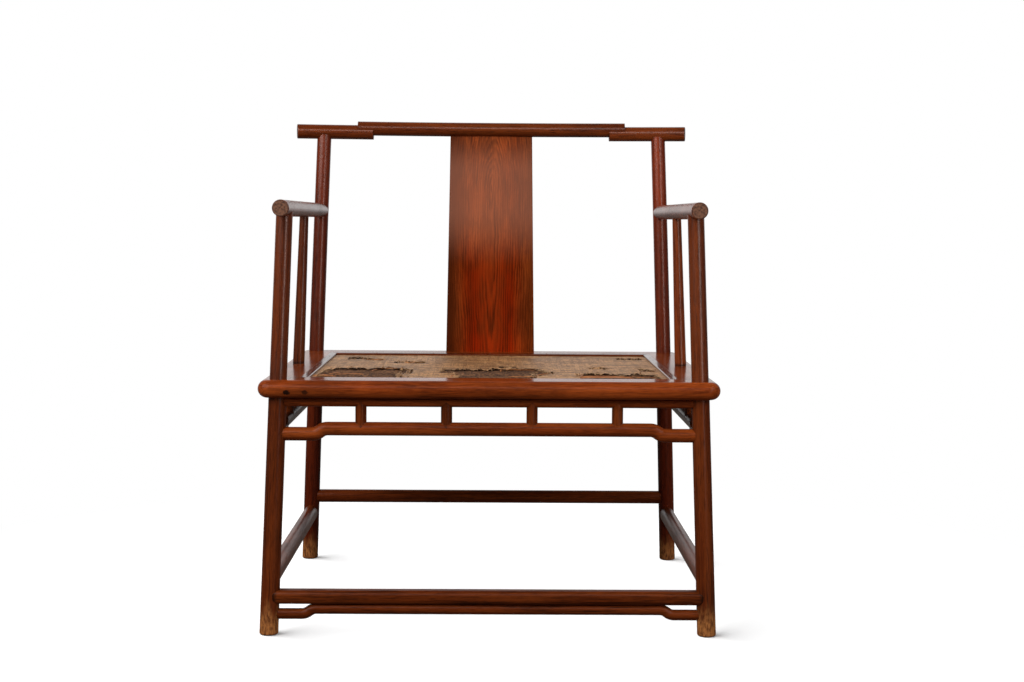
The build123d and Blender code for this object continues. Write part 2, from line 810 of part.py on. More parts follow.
def level_bar(half_x, y, height, depth, thickness, corner):
    """A level bar between two legs with rounded corners, or an oval where corner is 0."""
    reach = splayed(half_x, height)
    with BuildPart() as bar:
        with BuildSketch(Plane.YZ):
            with Locations((y, height)):
                if corner:
                    RectangleRounded(depth, thickness, corner)
                else:
                    Ellipse(depth / 2, thickness / 2)
        extrude(amount=reach, both=True)
    return bar.part


def strut_prism(x, y):
    """A strut's outline with its two V-shaped tips, right through the apron's depth."""
    half = strut_diameter / 2
    low = humpback_top
    high = apron_rail_middle - apron_rail_height / 2
    with BuildPart() as prism:
        with BuildSketch(Plane.XZ.offset(apron_rail_depth - y)):
            with BuildLine():
                Polyline(
                    (x - half, low),
                    (x, low - half),
                    (x + half, low),
                    (x + half, high),
                    (x, high + half),
                    (x - half, high),
                    close=True,
                )
            make_face()
        extrude(amount=-2 * apron_rail_depth)
    return prism.part


def write_apron(place, turn, half_x, half_y, struts):
    """Write one side's apron rail, its struts and the humpback bar below them."""
    rail_y = -splayed(half_y, apron_rail_middle)
    bar_y = -splayed(half_y, humpback_end_height)
    strut_y = (rail_y + bar_y) / 2
    strut_places = centred_row(struts, strut_spacing)
    rail_blank = level_bar(
        half_x, rail_y, apron_rail_middle, apron_rail_depth, apron_rail_height, apron_rail_radius
    )
    bar_blank = humpback_bar(
        half_x, bar_y, humpback_end_height, humpback_rise, humpback_diameter, humpback_bend_from_leg
    )
    prisms = [strut_prism(x, strut_y) for x in strut_places]
    turned = Location((0, 0, 0), (0, 0, turn))

    with BuildPart() as apron_rail:
        add(rail_blank)
        for prism in prisms:
            add(prism, mode=Mode.SUBTRACT)
        cope_ends(half_x, half_y, apron_rail_middle)
        end_tenons(
            splayed(half_x, apron_rail_middle), rail_y, apron_rail_middle, apron_rail_tenon_height
        )
    keep(apron_rail.part.moved(turned), f"{place}_apron_rail")

    with BuildPart() as humpback:
        add(bar_blank)
        for prism in prisms:
            add(prism, mode=Mode.SUBTRACT)
        cope_ends(half_x, half_y, humpback_end_height)
        end_tenons(
            splayed(half_x, humpback_end_height), bar_y, humpback_end_height, humpback_tenon_height
        )
    keep(humpback.part.moved(turned), f"{place}_humpback_stretcher")

    for number, (x, prism) in enumerate(zip(strut_places, prisms), start=1):
        with BuildPart() as tips:
            add(rail_blank)
            add(bar_blank)
            add(prism, mode=Mode.INTERSECT)
        with BuildPart() as strut:
            with Locations((x, strut_y, humpback_middle)):
                Cylinder(
                    strut_diameter / 2,
                    apron_rail_middle - humpback_middle,
                    align=(Align.CENTER, Align.CENTER, Align.MIN),
                )
            add(rail_blank, mode=Mode.SUBTRACT)
            add(bar_blank, mode=Mode.SUBTRACT)
            add(tips.part)
        keep(strut.part.moved(turned), f"{place}_apron_strut_{number}")


write_apron("front", 0, leg_seat_x, leg_seat_y, long_apron_struts)
write_apron("rear", 180, leg_seat_x, leg_seat_y, long_apron_struts)
write_apron("right", 90, leg_seat_y, leg_seat_x, short_apron_struts)
write_apron("left", -90, leg_seat_y, leg_seat_x, short_apron_struts)

# --- Stretchers near the floor, rising from front to sides to rear ----------
foot_stretcher_y = -splayed(leg_seat_y, foot_stretcher_height)
foot_stretcher_blank = level_bar(
    leg_seat_x,
    foot_stretcher_y,
    foot_stretcher_height,
    foot_stretcher_depth,
    foot_stretcher_thickness,
    foot_stretcher_radius,
)
with BuildPart() as foot_stretcher:
    add(foot_stretcher_blank)
    cope_ends(leg_seat_x, leg_seat_y, foot_stretcher_height)
    end_tenons(
        splayed(leg_seat_x, foot_stretcher_height),
        foot_stretcher_y,
        foot_stretcher_height,
        stretcher_tenon_height,
    )
keep(foot_stretcher.part, "foot_stretcher_front")

foot_humpback_y = -splayed(leg_seat_y, foot_humpback_end_height)
foot_humpback_blank = humpback_bar(
    leg_seat_x,
    foot_humpback_y,
    foot_humpback_end_height,
    foot_humpback_rise,
    foot_humpback_diameter,
    foot_humpback_bend_from_leg,
)
with BuildPart() as foot_humpback:
    add(foot_humpback_blank)
    cope_ends(leg_seat_x, leg_seat_y, foot_humpback_end_height)
    end_tenons(
        splayed(leg_seat_x, foot_humpback_end_height),
        foot_humpback_y,
        foot_humpback_end_height,
        foot_humpback_tenon_height,
    )
keep(foot_humpback.part, "foot_humpback_front")

rear_stretcher_y = -splayed(leg_seat_y, rear_stretcher_height)
rear_stretcher_blank = level_bar(
    leg_seat_x, rear_stretcher_y, rear_stretcher_height, rear_stretcher_diameter, rear_stretcher_diameter, 0
)
with BuildPart() as rear_stretcher:
    add(rear_stretcher_blank)
    cope_ends(leg_seat_x, leg_seat_y, rear_stretcher_height)
    end_tenons(
        splayed(leg_seat_x, rear_stretcher_height),
        rear_stretcher_y,
        rear_stretcher_height,
        stretcher_tenon_height,
    )
keep(rear_stretcher.part.moved(Location((0, 0, 0), (0, 0, 180))), "rear_stretcher")

side_stretcher_y = -splayed(leg_seat_x, side_stretcher_height)
side_stretcher_blank = level_bar(
    leg_seat_y, side_stretcher_y, side_stretcher_height, side_stretcher_width, side_stretcher_thickness, 0
)
with BuildPart() as side_stretcher:
    add(side_stretcher_blank)
    cope_ends(leg_seat_y, leg_seat_x, side_stretcher_height)
    end_tenons(
        splayed(leg_seat_y, side_stretcher_height),
        side_stretcher_y,
        side_stretcher_height,
        stretcher_tenon_height,
    )
keep(side_stretcher.part.moved(Location((0, 0, 0), (0, 0, -90))), "side_stretcher_left")
keep(side_stretcher.part.moved(Location((0, 0, 0), (0, 0, 90))), "side_stretcher_right")
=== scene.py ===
"""The looks of an official's hat armchair: oiled hardwood, a worn cane mat and palm webbing."""

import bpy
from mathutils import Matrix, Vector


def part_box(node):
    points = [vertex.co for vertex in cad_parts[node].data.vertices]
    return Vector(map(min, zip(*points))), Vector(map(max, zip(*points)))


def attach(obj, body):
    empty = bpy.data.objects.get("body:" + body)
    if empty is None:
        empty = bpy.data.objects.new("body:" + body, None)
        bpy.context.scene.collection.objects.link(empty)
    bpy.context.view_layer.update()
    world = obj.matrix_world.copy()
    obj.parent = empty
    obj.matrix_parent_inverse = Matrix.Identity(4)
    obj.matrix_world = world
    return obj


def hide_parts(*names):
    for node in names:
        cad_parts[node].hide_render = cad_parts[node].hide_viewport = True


bl_info = {
    "name": "Official's Hat Armchair",
    "version": (1, 0, 0),
    "blender": (4, 5, 0),
    "location": "View3D > Sidebar > Armchair",
    "description": "Finishes the timbers and weaves the seat of a joined armchair",
    "category": "Object",
}

from math import cos, pi, radians, sin

import bpy
import numpy as np
from mathutils import Matrix, Vector

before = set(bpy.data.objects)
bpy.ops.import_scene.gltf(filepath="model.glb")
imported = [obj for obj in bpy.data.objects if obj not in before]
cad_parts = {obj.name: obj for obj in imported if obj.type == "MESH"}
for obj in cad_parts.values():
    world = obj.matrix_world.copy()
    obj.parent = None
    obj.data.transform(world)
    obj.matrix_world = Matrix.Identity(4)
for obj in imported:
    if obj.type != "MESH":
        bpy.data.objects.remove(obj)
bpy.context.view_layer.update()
MM = 0.001
UP = Vector((0, 0, 1))

_, FRAME_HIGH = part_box("seat_frame_rear")
MAT_LOW, MAT_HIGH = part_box("cane_mat")
WEBBING_LOW, WEBBING_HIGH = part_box("palm_fibre_webbing")


# --- Joining shader nodes ---------------------------------------------------
class Wiring:
    """Adds nodes to one shader tree and feeds their sockets."""

    def __init__(self, tree):
        self.tree = tree

    def add(self, kind, values=(), **settings):
        """A new node with its settings, and with values fed to its sockets."""
        node = self.tree.nodes.new(kind)
        for key, value in settings.items():
            setattr(node, key, value)
        return self.fill(node, values)

    def fill(self, node, values):
        """Feeds a node's sockets: in their order, or by name or number from a dict."""
        for key, value in values.items() if isinstance(values, dict) else enumerate(values):
            self.feed(node.inputs[key], value)
        return node

    def feed(self, socket, value):
        """Links a socket to another's output, or gives it a plain value."""
        if isinstance(value, bpy.types.NodeSocket):
            self.tree.links.new(value, socket)
        else:
            socket.default_value = value

    def math(self, operation, first, second=0.0, third=0.0):
        return self.add("ShaderNodeMath", (first, second, third), operation=operation).outputs[0]

    def times(self, first, second, plus=0.0):
        """First times second, plus a third."""
        return self.math("MULTIPLY_ADD", first, second, plus)

    def vector(self, operation, first, second=(0, 0, 0)):
        values = {0: first, "Scale" if operation == "SCALE" else 1: second}
        node = self.add("ShaderNodeVectorMath", values, operation=operation)
        return node.outputs["Value" if operation in ("LENGTH", "DOT_PRODUCT") else "Vector"]

    def noise(self, vector, scale=1.0, detail=2.0, roughness=0.5):
        """Cloudy noise; a scale of three numbers stretches it along the axes."""
        if isinstance(scale, tuple):
            vector, scale = self.vector("MULTIPLY", vector, scale), 1.0
        values = {"Vector": vector, "Scale": scale, "Detail": detail, "Roughness": roughness}
        return self.add("ShaderNodeTexNoise", values).outputs[0]

    def wobble(self, vector, scale):
        """Three independent noises between about -0.5 and 0.5, as a vector."""
        noise = self.add("ShaderNodeTexNoise", {"Vector": vector, "Scale": scale})
        return self.vector("SUBTRACT", noise.outputs["Color"], (0.5, 0.5, 0.5))

    def step(self, value, low, high, to_low=0.0, to_high=1.0):
        """A smooth step of value from low to high."""
        values = (value, low, high, to_low, to_high)
        return self.add("ShaderNodeMapRange", values, interpolation_type="SMOOTHSTEP").outputs[0]

    def mix(self, factor, first, second):
        """Between two numbers."""
        return self.add("ShaderNodeMix", {0: factor, 2: first, 3: second}, data_type="FLOAT").outputs[0]

    def blend(self, factor, first, second, mode="MIX"):
        """Between two colours."""
        values = {0: factor, 6: first, 7: second}
        return self.add("ShaderNodeMix", values, data_type="RGBA", blend_type=mode).outputs[2]

    def choose(self, factor, first, second):
        """Between two shaders."""
        return self.add("ShaderNodeMixShader", (factor, first, second)).outputs[0]

    def split(self, vector):
        return self.add("ShaderNodeSeparateXYZ", (vector,)).outputs

    def join(self, x, y, z):
        return self.add("ShaderNodeCombineXYZ", (x, y, z)).outputs[0]

    def group(self, name, **values):
        """A shader group of this file, with its inputs by name."""
        inputs = {key.replace("_", " "): value for key, value in values.items()}
        return self.add("ShaderNodeGroup", inputs, node_tree=bpy.data.node_groups[name]).outputs


def empty_wiring(block):
    """The wiring of a material's or a world's own tree, with no node in it yet."""
    block.use_nodes = True
    block.node_tree.nodes.clear()
    return Wiring(block.node_tree)


FLOAT, COLOUR, VECTOR = "NodeSocketFloat", "NodeSocketColor", "NodeSocketVector"


def new_group(name, takes, gives):
    """Starts a shader node group with named inputs and outputs; returns its wiring and sockets."""
    tree = bpy.data.node_groups.new(name, "ShaderNodeTree")
    for way, sockets in (("INPUT", takes), ("OUTPUT", gives)):
        for label, kind in sockets.items():
            tree.interface.new_socket(label, in_out=way, socket_type=kind)
    w = Wiring(tree)
    return w, w.add("NodeGroupInput").outputs, w.add("NodeGroupOutput").inputs


def rgba(colour):
    """A shader colour from a setting's three numbers."""
    return (*colour[:3], 1.0)


# --- Shader groups ----------------------------------------------------------
# Lengths are in metres, and a noise's scale counts its cells for each metre along each axis.
def make_grain_group():
    """Timber grain along X: soft bands, darker streaks and fine pores."""
    run = {"Vector": VECTOR, "Seed": FLOAT, "Streaks": FLOAT}
    tones = {"Pale": COLOUR, "Body": COLOUR, "Dark": COLOUR}
    finish = {"Color": COLOUR, "Roughness": FLOAT, "Height": FLOAT}
    w, takes, gives = new_group("Timber Grain", {**run, **tones}, finish)
    shifted = w.vector("ADD", takes["Vector"], w.vector("SCALE", (1.7, 0.9, 2.3), takes["Seed"]))
    waved = w.vector("ADD", shifted, w.vector("MULTIPLY", w.wobble(shifted, 7.0), (0.0, 0.007, 0.007)))
    bands = w.noise(waved, (2.5, 60.0, 60.0), detail=3.0)
    streaks = w.noise(waved, (7.0, 250.0, 250.0), detail=4.0, roughness=0.62)
    flecks = w.noise(waved, (34.0, 480.0, 480.0), detail=4.0, roughness=0.7)
    pores = w.noise(waved, (55.0, 1300.0, 1300.0), detail=1.0)
    clouds = w.noise(shifted, (6.0, 14.0, 14.0), detail=3.0)
    colour = w.blend(w.step(bands, 0.36, 0.7), takes["Body"], takes["Pale"])
    colour = w.blend(w.times(w.step(clouds, 0.46, 0.74), 0.5), colour, takes["Dark"])
    dark_line = w.times(w.step(streaks, 0.49, 0.68), takes["Streaks"])
    colour = w.blend(dark_line, colour, takes["Dark"])
    colour = w.blend(w.step(flecks, 0.52, 0.36, 0.0, 0.4), colour, takes["Pale"])
    colour = w.blend(w.step(flecks, 0.52, 0.66, 0.0, 0.5), colour, takes["Dark"])
    pore = w.step(pores, 0.58, 0.7)
    colour = w.blend(w.times(pore, 0.4), colour, takes["Dark"])
    w.feed(gives["Color"], colour)
    rough = w.times(w.math("SUBTRACT", clouds, 0.5), 0.2, plus=w.times(pore, 0.06))
    w.feed(gives["Roughness"], rough)
    height = w.times(streaks, 0.4, plus=w.times(pore, -0.5))
    w.feed(gives["Height"], height)


def make_end_grain_group():
    """Rings and a thin dark rim on a sawn end; the vector is centred on the piece's heart."""
    ring_pitch = 0.0052
    places = {"Vector": VECTOR, "Normal": VECTOR, "Along": VECTOR, "Radius": FLOAT}
    tones = {"Face": COLOUR, "Ring": COLOUR}
    w, takes, gives = new_group("End Grain", {**places, **tones}, {"Color": COLOUR, "Mask": FLOAT})
    facing = w.math("ABSOLUTE", w.vector("DOT_PRODUCT", takes["Normal"], takes["Along"]))
    across = w.vector("MULTIPLY", takes["Vector"], (0.0, 1.0, 1.0))
    away = w.vector("LENGTH", w.vector("ADD", across, (0.0, 0.003, -0.004)))
    wobble = w.times(w.noise(across, 160.0, 2.0), 0.0016)
    rings = w.math("SINE", w.times(w.math("ADD", away, wobble), 2 * pi / ring_pitch))
    speckle = w.noise(across, 260.0, 4.0, 0.75)
    tone = w.times(rings, 0.25, plus=w.step(speckle, 0.4, 0.62))
    colour = w.blend(w.times(tone, 0.8), takes["Face"], takes["Ring"])
    rim = w.math("DIVIDE", w.vector("LENGTH", across), takes["Radius"])
    colour = w.blend(w.step(rim, 0.84, 0.97), colour, takes["Ring"])
    w.feed(gives["Color"], colour)
    w.feed(gives["Mask"], w.step(facing, 0.72, 0.9))


def make_foot_wear_group():
    """Where damp and mops have bleached the feet: 1 at the floor, 0 above the worn height."""
    w, takes, gives = new_group("Foot Wear", {"Position": VECTOR, "Height": FLOAT}, {"Mask": FLOAT})
    height = w.split(takes["Position"])[2]
    ragged = w.noise(takes["Position"], (90.0, 90.0, 22.0), detail=3.0)
    level = w.math("ADD", height, w.times(ragged, 0.07, plus=-0.035))
    w.feed(gives["Mask"], w.step(level, takes["Height"], 0.006))


def make_knot_group():
    """A dark ragged knot of a given radius round one centre."""
    sockets = {"Position": VECTOR, "Centre": VECTOR, "Radius": FLOAT}
    w, takes, gives = new_group("Knot", sockets, {"Mask": FLOAT})
    offset = w.vector("SUBTRACT", takes["Position"], takes["Centre"])
    squeezed = w.vector("MULTIPLY", offset, (0.66, 0.25, 1.0))
    ragged = w.times(w.noise(offset, 300.0, 3.0), 0.006)
    distance = w.math("ADD", w.vector("LENGTH", squeezed), ragged)
    edge = w.math("ADD", takes["Radius"], 0.003)
    w.feed(gives["Mask"], w.step(distance, w.math("ADD", edge, 0.0012), edge))


def make_flame_group():
    """Cathedral figure for a sawn board: arches up along X that close into long ovals below."""
    sockets = {"Vector": VECTOR, "Ring Width": FLOAT}
    w, takes, gives = new_group("Flame Figure", sockets, {"Lines": FLOAT, "Heart": FLOAT})
    shaken = takes["Vector"]
    for pitch, reach in (((5.0, 16.0, 0.0), (0.06, 0.02, 0.0)), ((22.0, 60.0, 0.0), (0.02, 0.005, 0.0))):
        wobble = w.wobble(w.vector("MULTIPLY", takes["Vector"], pitch), 1.0)
        shaken = w.vector("ADD", shaken, w.vector("MULTIPLY", wobble, reach))
    along, across, _ = w.split(shaken)
    squeeze = w.step(along, -0.12, 0.06, 0.05, 0.27)
    radius = w.vector("LENGTH", w.join(w.times(along, squeeze), across, 0.0))
    fine = w.noise(shaken, (9.0, 330.0, 0.0), detail=3.0, roughness=0.6)
    phase = w.times(fine, 1.1, plus=w.math("DIVIDE", radius, takes["Ring Width"]))
    saw = w.math("FRACT", phase)
    w.feed(gives["Lines"], w.times(w.step(saw, 0.1, 0.7), w.step(saw, 1.0, 0.8)))
    w.feed(gives["Heart"], w.step(radius, 0.05, 0.008))


def make_weave_group():
    """Plain weave of fine cane: strand tones, painted shade in the gaps and a crown on every strand."""
    sockets = {"Position": VECTOR, "Strand": FLOAT}
    w, takes, gives = new_group("Cane Weave", sockets, {"Tone": FLOAT, "Gap": FLOAT, "Height": FLOAT})
    x, y, _ = w.split(takes["Position"])
    u = w.math("DIVIDE", x, takes["Strand"])
    v = w.math("DIVIDE", y, takes["Strand"])
    over = w.math("FLOORED_MODULO", w.math("ADD", w.math("FLOOR", u), w.math("FLOOR", v)), 2.0)
    crown_u = w.math("SINE", w.times(w.math("FRACT", u), pi))
    crown_v = w.math("SINE", w.times(w.math("FRACT", v), pi))
    crown = w.mix(over, crown_u, crown_v)
    tone_u = w.noise(takes["Position"], (9.0, 420.0, 0.0))
    tone_v = w.noise(takes["Position"], (420.0, 9.0, 0.0))
    bundle_u = w.noise(takes["Position"], (9.0, 60.0, 0.0))
    bundle_v = w.noise(takes["Position"], (110.0, 4.0, 0.0), detail=1.0)
    flecks = w.noise(takes["Position"], (75.0, 60.0, 0.0), detail=3.0, roughness=0.7)
    strand = w.mix(over, tone_v, tone_u)
    bundle = w.times(bundle_u, 0.75, plus=w.times(bundle_v, 0.25))
    worn = w.times(bundle, 0.5, plus=w.times(flecks, 0.5))
    tone = w.times(worn, 0.7, plus=w.times(strand, 0.3))
    w.feed(gives["Tone"], w.step(tone, 0.43, 0.57))
    w.feed(gives["Gap"], w.step(crown, 0.45, 0.05))
    w.feed(gives["Height"], crown)


# --- Materials --------------------------------------------------------------
def new_material(name):
    """A node material with a Principled shader; returns it, its wiring and the shader."""
    material = bpy.data.materials.new(name)
    w = empty_wiring(material)
    shader = w.add("ShaderNodeBsdfPrincipled")
    w.add("ShaderNodeOutputMaterial", {"Surface": shader.outputs[0]})
    return material, w, shader


def add_bump(w, shader, height, strength, distance):
    """Feeds the shader's normal from a height."""
    bump = w.add("ShaderNodeBump", {"Strength": strength, "Distance": distance, "Height": height})
    w.feed(shader.inputs["Normal"], bump.outputs[0])


def grain_space(w, heart, along, across):
    """Position, normal, and the position turned so that X runs along the grain from the piece's heart."""
    along = Vector(along).normalized()
    depth = along.cross(Vector(across)).normalized()
    turn = Matrix((along, depth.cross(along), depth)).transposed().to_euler()
    coordinates = w.add("ShaderNodeTexCoord").outputs
    frame = {"Vector": coordinates["Object"], "Location": heart, "Rotation": turn}
    mapping = w.add("ShaderNodeMapping", frame, vector_type="TEXTURE")
    return coordinates["Object"], coordinates["Normal"], mapping.outputs[0]


def wood_tones(look, shade=1.0, tint=(1.0, 1.0, 1.0)):
    """The grain's three colours from a timber's settings, scaled by painted shading and tinted."""
    tones = {"Pale": look.pale, "Body": look.body, "Dark": look.dark}
    return {
        key: rgba([value * part * shade for value, part in zip(tone, tint)]) for key, tone in tones.items()
    }


# Heights above the floor, in metres, between which a post's finish changes: it turns duller below the seat,
# takes painted shading below the seat and painted light above the arms.
POST_DULLS = (0.47, 0.4)
POST_PAINTED_SHADING_LOW = (0.52, 0.3)
POST_PAINTED_SHADING_HIGH = (0.66, 0.78)
# The darkest marks on the timber.
KNOT_TONE = (0.004, 0.002, 0.0015, 1.0)
JOINT_END_TONE = (0.006, 0.002, 0.001, 1.0)


def timber_material(
    name,
    heart,
    along,
    seed,
    radius=0.0145,
    rough=0.27,
    shade=1.0,
    tint=(1.0, 1.0, 1.0),
    shade_below=None,
    shade_above=1.0,
    worn_feet=False,
    knots=(),
    streaks=0.5,
    shine=0.3,
    polished_top=False,
    joint=None,
):
    """Oiled hardwood whose grain runs along one direction through the heart point."""
    look = bpy.context.scene.armchair_timber
    across = (1, 0, 0) if abs(along[0]) < 0.9 else (0, 1, 0)
    material, w, shader = new_material(name)
    position, normal, vector = grain_space(w, heart, along, across)
    # The tones are scaled by this timber's painted shading, darker or lighter for the light it gets.
    tones = wood_tones(look, shade, tint)
    grain = w.group("Timber Grain", Vector=vector, Seed=seed, Streaks=streaks, **tones)
    sawn = {"Radius": radius, "Face": rgba(look.end_face), "Ring": rgba(look.end_ring)}
    ends = w.group("End Grain", Vector=vector, Normal=normal, Along=Vector(along).normalized(), **sawn)
    colour = grain["Color"]
    if polished_top:
        rough = w.step(w.split(normal)[2], 0.8, 0.97, rough, 0.14)
    rough = w.math("ADD", grain["Roughness"], rough)
    # Posts take painted shading below the seat and, where given, painted light above the arms; below the seat
    # they also turn duller.
    if shade_below is not None:
        height = w.split(position)[2]
        dull = w.step(height, *POST_DULLS)
        for heights, part in ((POST_PAINTED_SHADING_LOW, shade_below), (POST_PAINTED_SHADING_HIGH, shade_above)):
            colour = w.blend(w.step(height, *heights), colour, rgba([part] * 3), mode="MULTIPLY")
        rough = w.mix(dull, rough, 0.42)
        shine = w.mix(dull, shine, 0.08)
    colour = w.blend(ends["Mask"], colour, ends["Color"])
    rough = w.times(ends["Mask"], 0.3, plus=rough)
    for centre, size, strength in knots:
        knot = w.group("Knot", Position=position, Centre=centre, Radius=size)
        colour = w.blend(w.times(knot["Mask"], strength), colour, KNOT_TONE)
    if joint is not None:
        to_joint = w.math("SUBTRACT", joint, w.math("ABSOLUTE", w.split(vector)[0]))
        near_joint = w.step(w.times(grain["Height"], 0.006, plus=to_joint), 0.011, 0.002)
        colour = w.blend(w.times(near_joint, 0.9), colour, JOINT_END_TONE)
    if worn_feet:
        worn = w.group("Foot Wear", Position=position, Height=look.worn_height)["Mask"]
        mottled = w.step(w.noise(position, (300.0, 300.0, 90.0), detail=4.0, roughness=0.65), 0.38, 0.66)
        bleached = w.blend(mottled, rgba(look.worn), rgba(look.worn_dark))
        colour = w.blend(w.times(worn, 0.85), colour, bleached)
        rough = w.times(worn, 0.35, plus=rough)
    surface = {"Base Color": colour, "Roughness": rough, "Specular IOR Level": shine}
    wax = {"Specular Tint": rgba(look.sheen), "Coat Weight": look.wax, "Coat Roughness": 0.18}
    w.fill(shader, {**surface, **wax})
    add_bump(w, shader, grain["Height"], 0.22, 0.0004)
    return material


def splat_material(name, heart, along):
    """Hardwood board with a flame figure, dark along both edges and redder towards the seat."""
    look = bpy.context.scene.armchair_splat
    material, w, shader = new_material(name)
    position, normal, vector = grain_space(w, heart, along, (1, 0, 0))
    across, _, height = w.split(position)
    tones = wood_tones(look)
    dark = tones["Dark"]
    grain = w.group("Timber Grain", Vector=vector, Seed=3.3, Streaks=0.6, **tones)
    glow = w.times(w.step(height, 0.72, 0.6), w.step(w.math("ABSOLUTE", across), 0.095, 0.03))
    colour = w.blend(w.times(glow, 0.97), grain["Color"], rgba(look.ember))
    mottled = w.noise(vector, (16.0, 55.0, 0.0), detail=4.0, roughness=0.6)
    colour = w.blend(w.step(mottled, 0.42, 0.7, 0.0, 0.55), colour, dark)
    # Painted light: the splat's foot is painted lighter and warmer.
    painted_light_at_foot = (1.35, 1.2, 1.0, 1.0)
    colour = w.blend(w.step(height, 0.5, 0.455), colour, painted_light_at_foot, mode="MULTIPLY")
    flame = w.group("Flame Figure", Vector=vector, Ring_Width=look.ring_width)
    colour = w.blend(w.times(flame["Heart"], 0.22), colour, tones["Pale"])
    patchy = w.step(w.noise(vector, (9.0, 60.0, 0.0)), 0.35, 0.65, 0.28, 0.78)
    colour = w.blend(w.times(flame["Lines"], patchy), colour, dark)
    ragged = w.times(w.noise(vector, (3.0, 30.0, 0.0)), 0.03, plus=-0.015)
    edge = w.math("ADD", w.math("ABSOLUTE", across), ragged)
    left_side = w.step(across, 0.03, -0.05, 0.65, 0.95)
    dark_edge = w.times(w.step(edge, 0.04, 0.086), left_side)
    colour = w.blend(dark_edge, colour, dark)
    # Painted sheen: a greyish colour on the splat's upper half stands in for a highlight.
    painted_sheen = w.times(w.step(height, 0.62, 0.75), w.step(height, 0.9, 0.82, 0.15, 1.0))
    colour = w.blend(w.times(painted_sheen, 0.5), colour, rgba(look.painted_sheen))
    rough = w.math("ADD", grain["Roughness"], w.mix(painted_sheen, 0.24, 0.36))
    red_sheen = (1.0, 0.4, 0.15, 1.0)
    w.fill(shader, {"Base Color": colour, "Roughness": rough})
    w.fill(shader, {"Specular IOR Level": 0.05, "Specular Tint": red_sheen})
    add_bump(w, shader, grain["Height"], 0.18, 0.0004)
    return material


def cane_material():
    """Worn cane weave: tan strands, grey dirt and darker damp patches."""
    look = bpy.context.scene.armchair_mat
    material, w, shader = new_material("worn_cane_weave")
    position = w.add("ShaderNodeTexCoord").outputs["Object"]
    weave = w.group("Cane Weave", Position=position, Strand=look.strand)
    upright = w.math("ABSOLUTE", w.split(w.add("ShaderNodeNewGeometry").outputs["True Normal"])[2])
    to_stain = w.vector("MULTIPLY", w.vector("SUBTRACT", position, look.stain_place), (0.8, 1.6, 0.0))
    ragged = w.times(w.noise(position, (60.0, 120.0, 0.0), detail=3.0), 0.03)
    stain = w.step(w.math("ADD", w.vector("LENGTH", to_stain), ragged), 0.036, 0.024)
    dirt = w.step(w.noise(position, 9.0, 4.0, 0.6), 0.4, 0.68)
    damp = w.step(w.noise(w.vector("MULTIPLY", position, (5.0, 8.0, 5.0)), 1.6, 3.0, 0.6), 0.5, 0.72)
    colour = w.blend(weave["Tone"], rgba(look.dull), rgba(look.bright))
    soiled = ((dirt, 0.45, look.dirt), (damp, 0.35, look.damp), (stain, 0.7, look.stain))
    # Dirt, damp and the stain are the cane's own; the gaps between strands take painted shade.
    for mask, share, tone in (*soiled, (weave["Gap"], 0.75, look.gap)):
        colour = w.blend(w.times(mask, share), colour, rgba(tone))
    # Painted shade: the mat's cut sides at the tears are painted dark, as if in shadow.
    colour = w.blend(w.step(upright, 0.7, 0.4), colour, rgba([tone * 0.4 for tone in look.gap]))
    rough = w.times(weave["Gap"], 0.3, plus=0.46)
    w.fill(shader, {"Base Color": colour, "Roughness": rough, "Specular IOR Level": 0.18})
    add_bump(w, shader, weave["Height"], 0.8, 0.0007)
    return material


def fibre_material(name, low, high, roughness, scale, spots=0.0):
    """Coarse plant fibre between two tones, streaked by noise and, by a share, spotted."""
    material, w, shader = new_material(name)
    position = w.add("ShaderNodeTexCoord").outputs["Object"]
    streaks = w.noise(position, (scale, scale * 4, scale * 4), detail=4.0, roughness=0.7)
    spotted = w.noise(position, (300.0, 75.0, 300.0), detail=3.0, roughness=0.6)
    patches = w.noise(position, 14.0, 3.0)
    mixed = w.mix(spots, w.step(streaks, 0.34, 0.66), w.step(spotted, 0.44, 0.57))
    tone = w.times(mixed, w.step(patches, 0.2, 0.75, 0.35, 1.0))
    colour = w.blend(tone, rgba(low), rgba(high))
    rough = w.times(streaks, 0.2, plus=roughness)
    w.fill(shader, {"Base Color": colour, "Roughness": rough, "Specular IOR Level": 0.3})
    add_bump(w, shader, streaks, 0.6, 0.0006)
    return material


# --- Meshes -----------------------------------------------------------------
def new_piece(name, vertices, faces, material, slot, smooth=True):
    """A mesh object that rides on the chair's one body."""
    mesh = bpy.data.meshes.new(name)
    mesh.from_pydata([tuple(v) for v in vertices], [], [tuple(int(i) for i in f) for f in faces])
    mesh.update()
    if smooth:
        mesh.polygons.foreach_set("use_smooth", [True] * len(mesh.polygons))
    piece = bpy.data.objects.new(name, mesh)
    bpy.context.scene.collection.objects.link(piece)
    mesh.materials.append(material)
    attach(piece, "root")
    return piece


def ripple(x, y, seed):
    """A smooth random surface between about -1 and 1: waves from 18 mm long upwards, each way."""
    generator = np.random.default_rng(seed)
    total = np.zeros_like(x, dtype=float)
    for turn in range(9):
        angle = generator.uniform(0, 2 * pi)
        length = 0.018 * 1.55**turn
        phase = generator.uniform(0, 2 * pi)
        wave = np.sin(2 * pi * (x * cos(angle) + y * sin(angle)) / length + phase)
        total += wave * (0.35 + 0.1 * turn)
    return total / 4.0


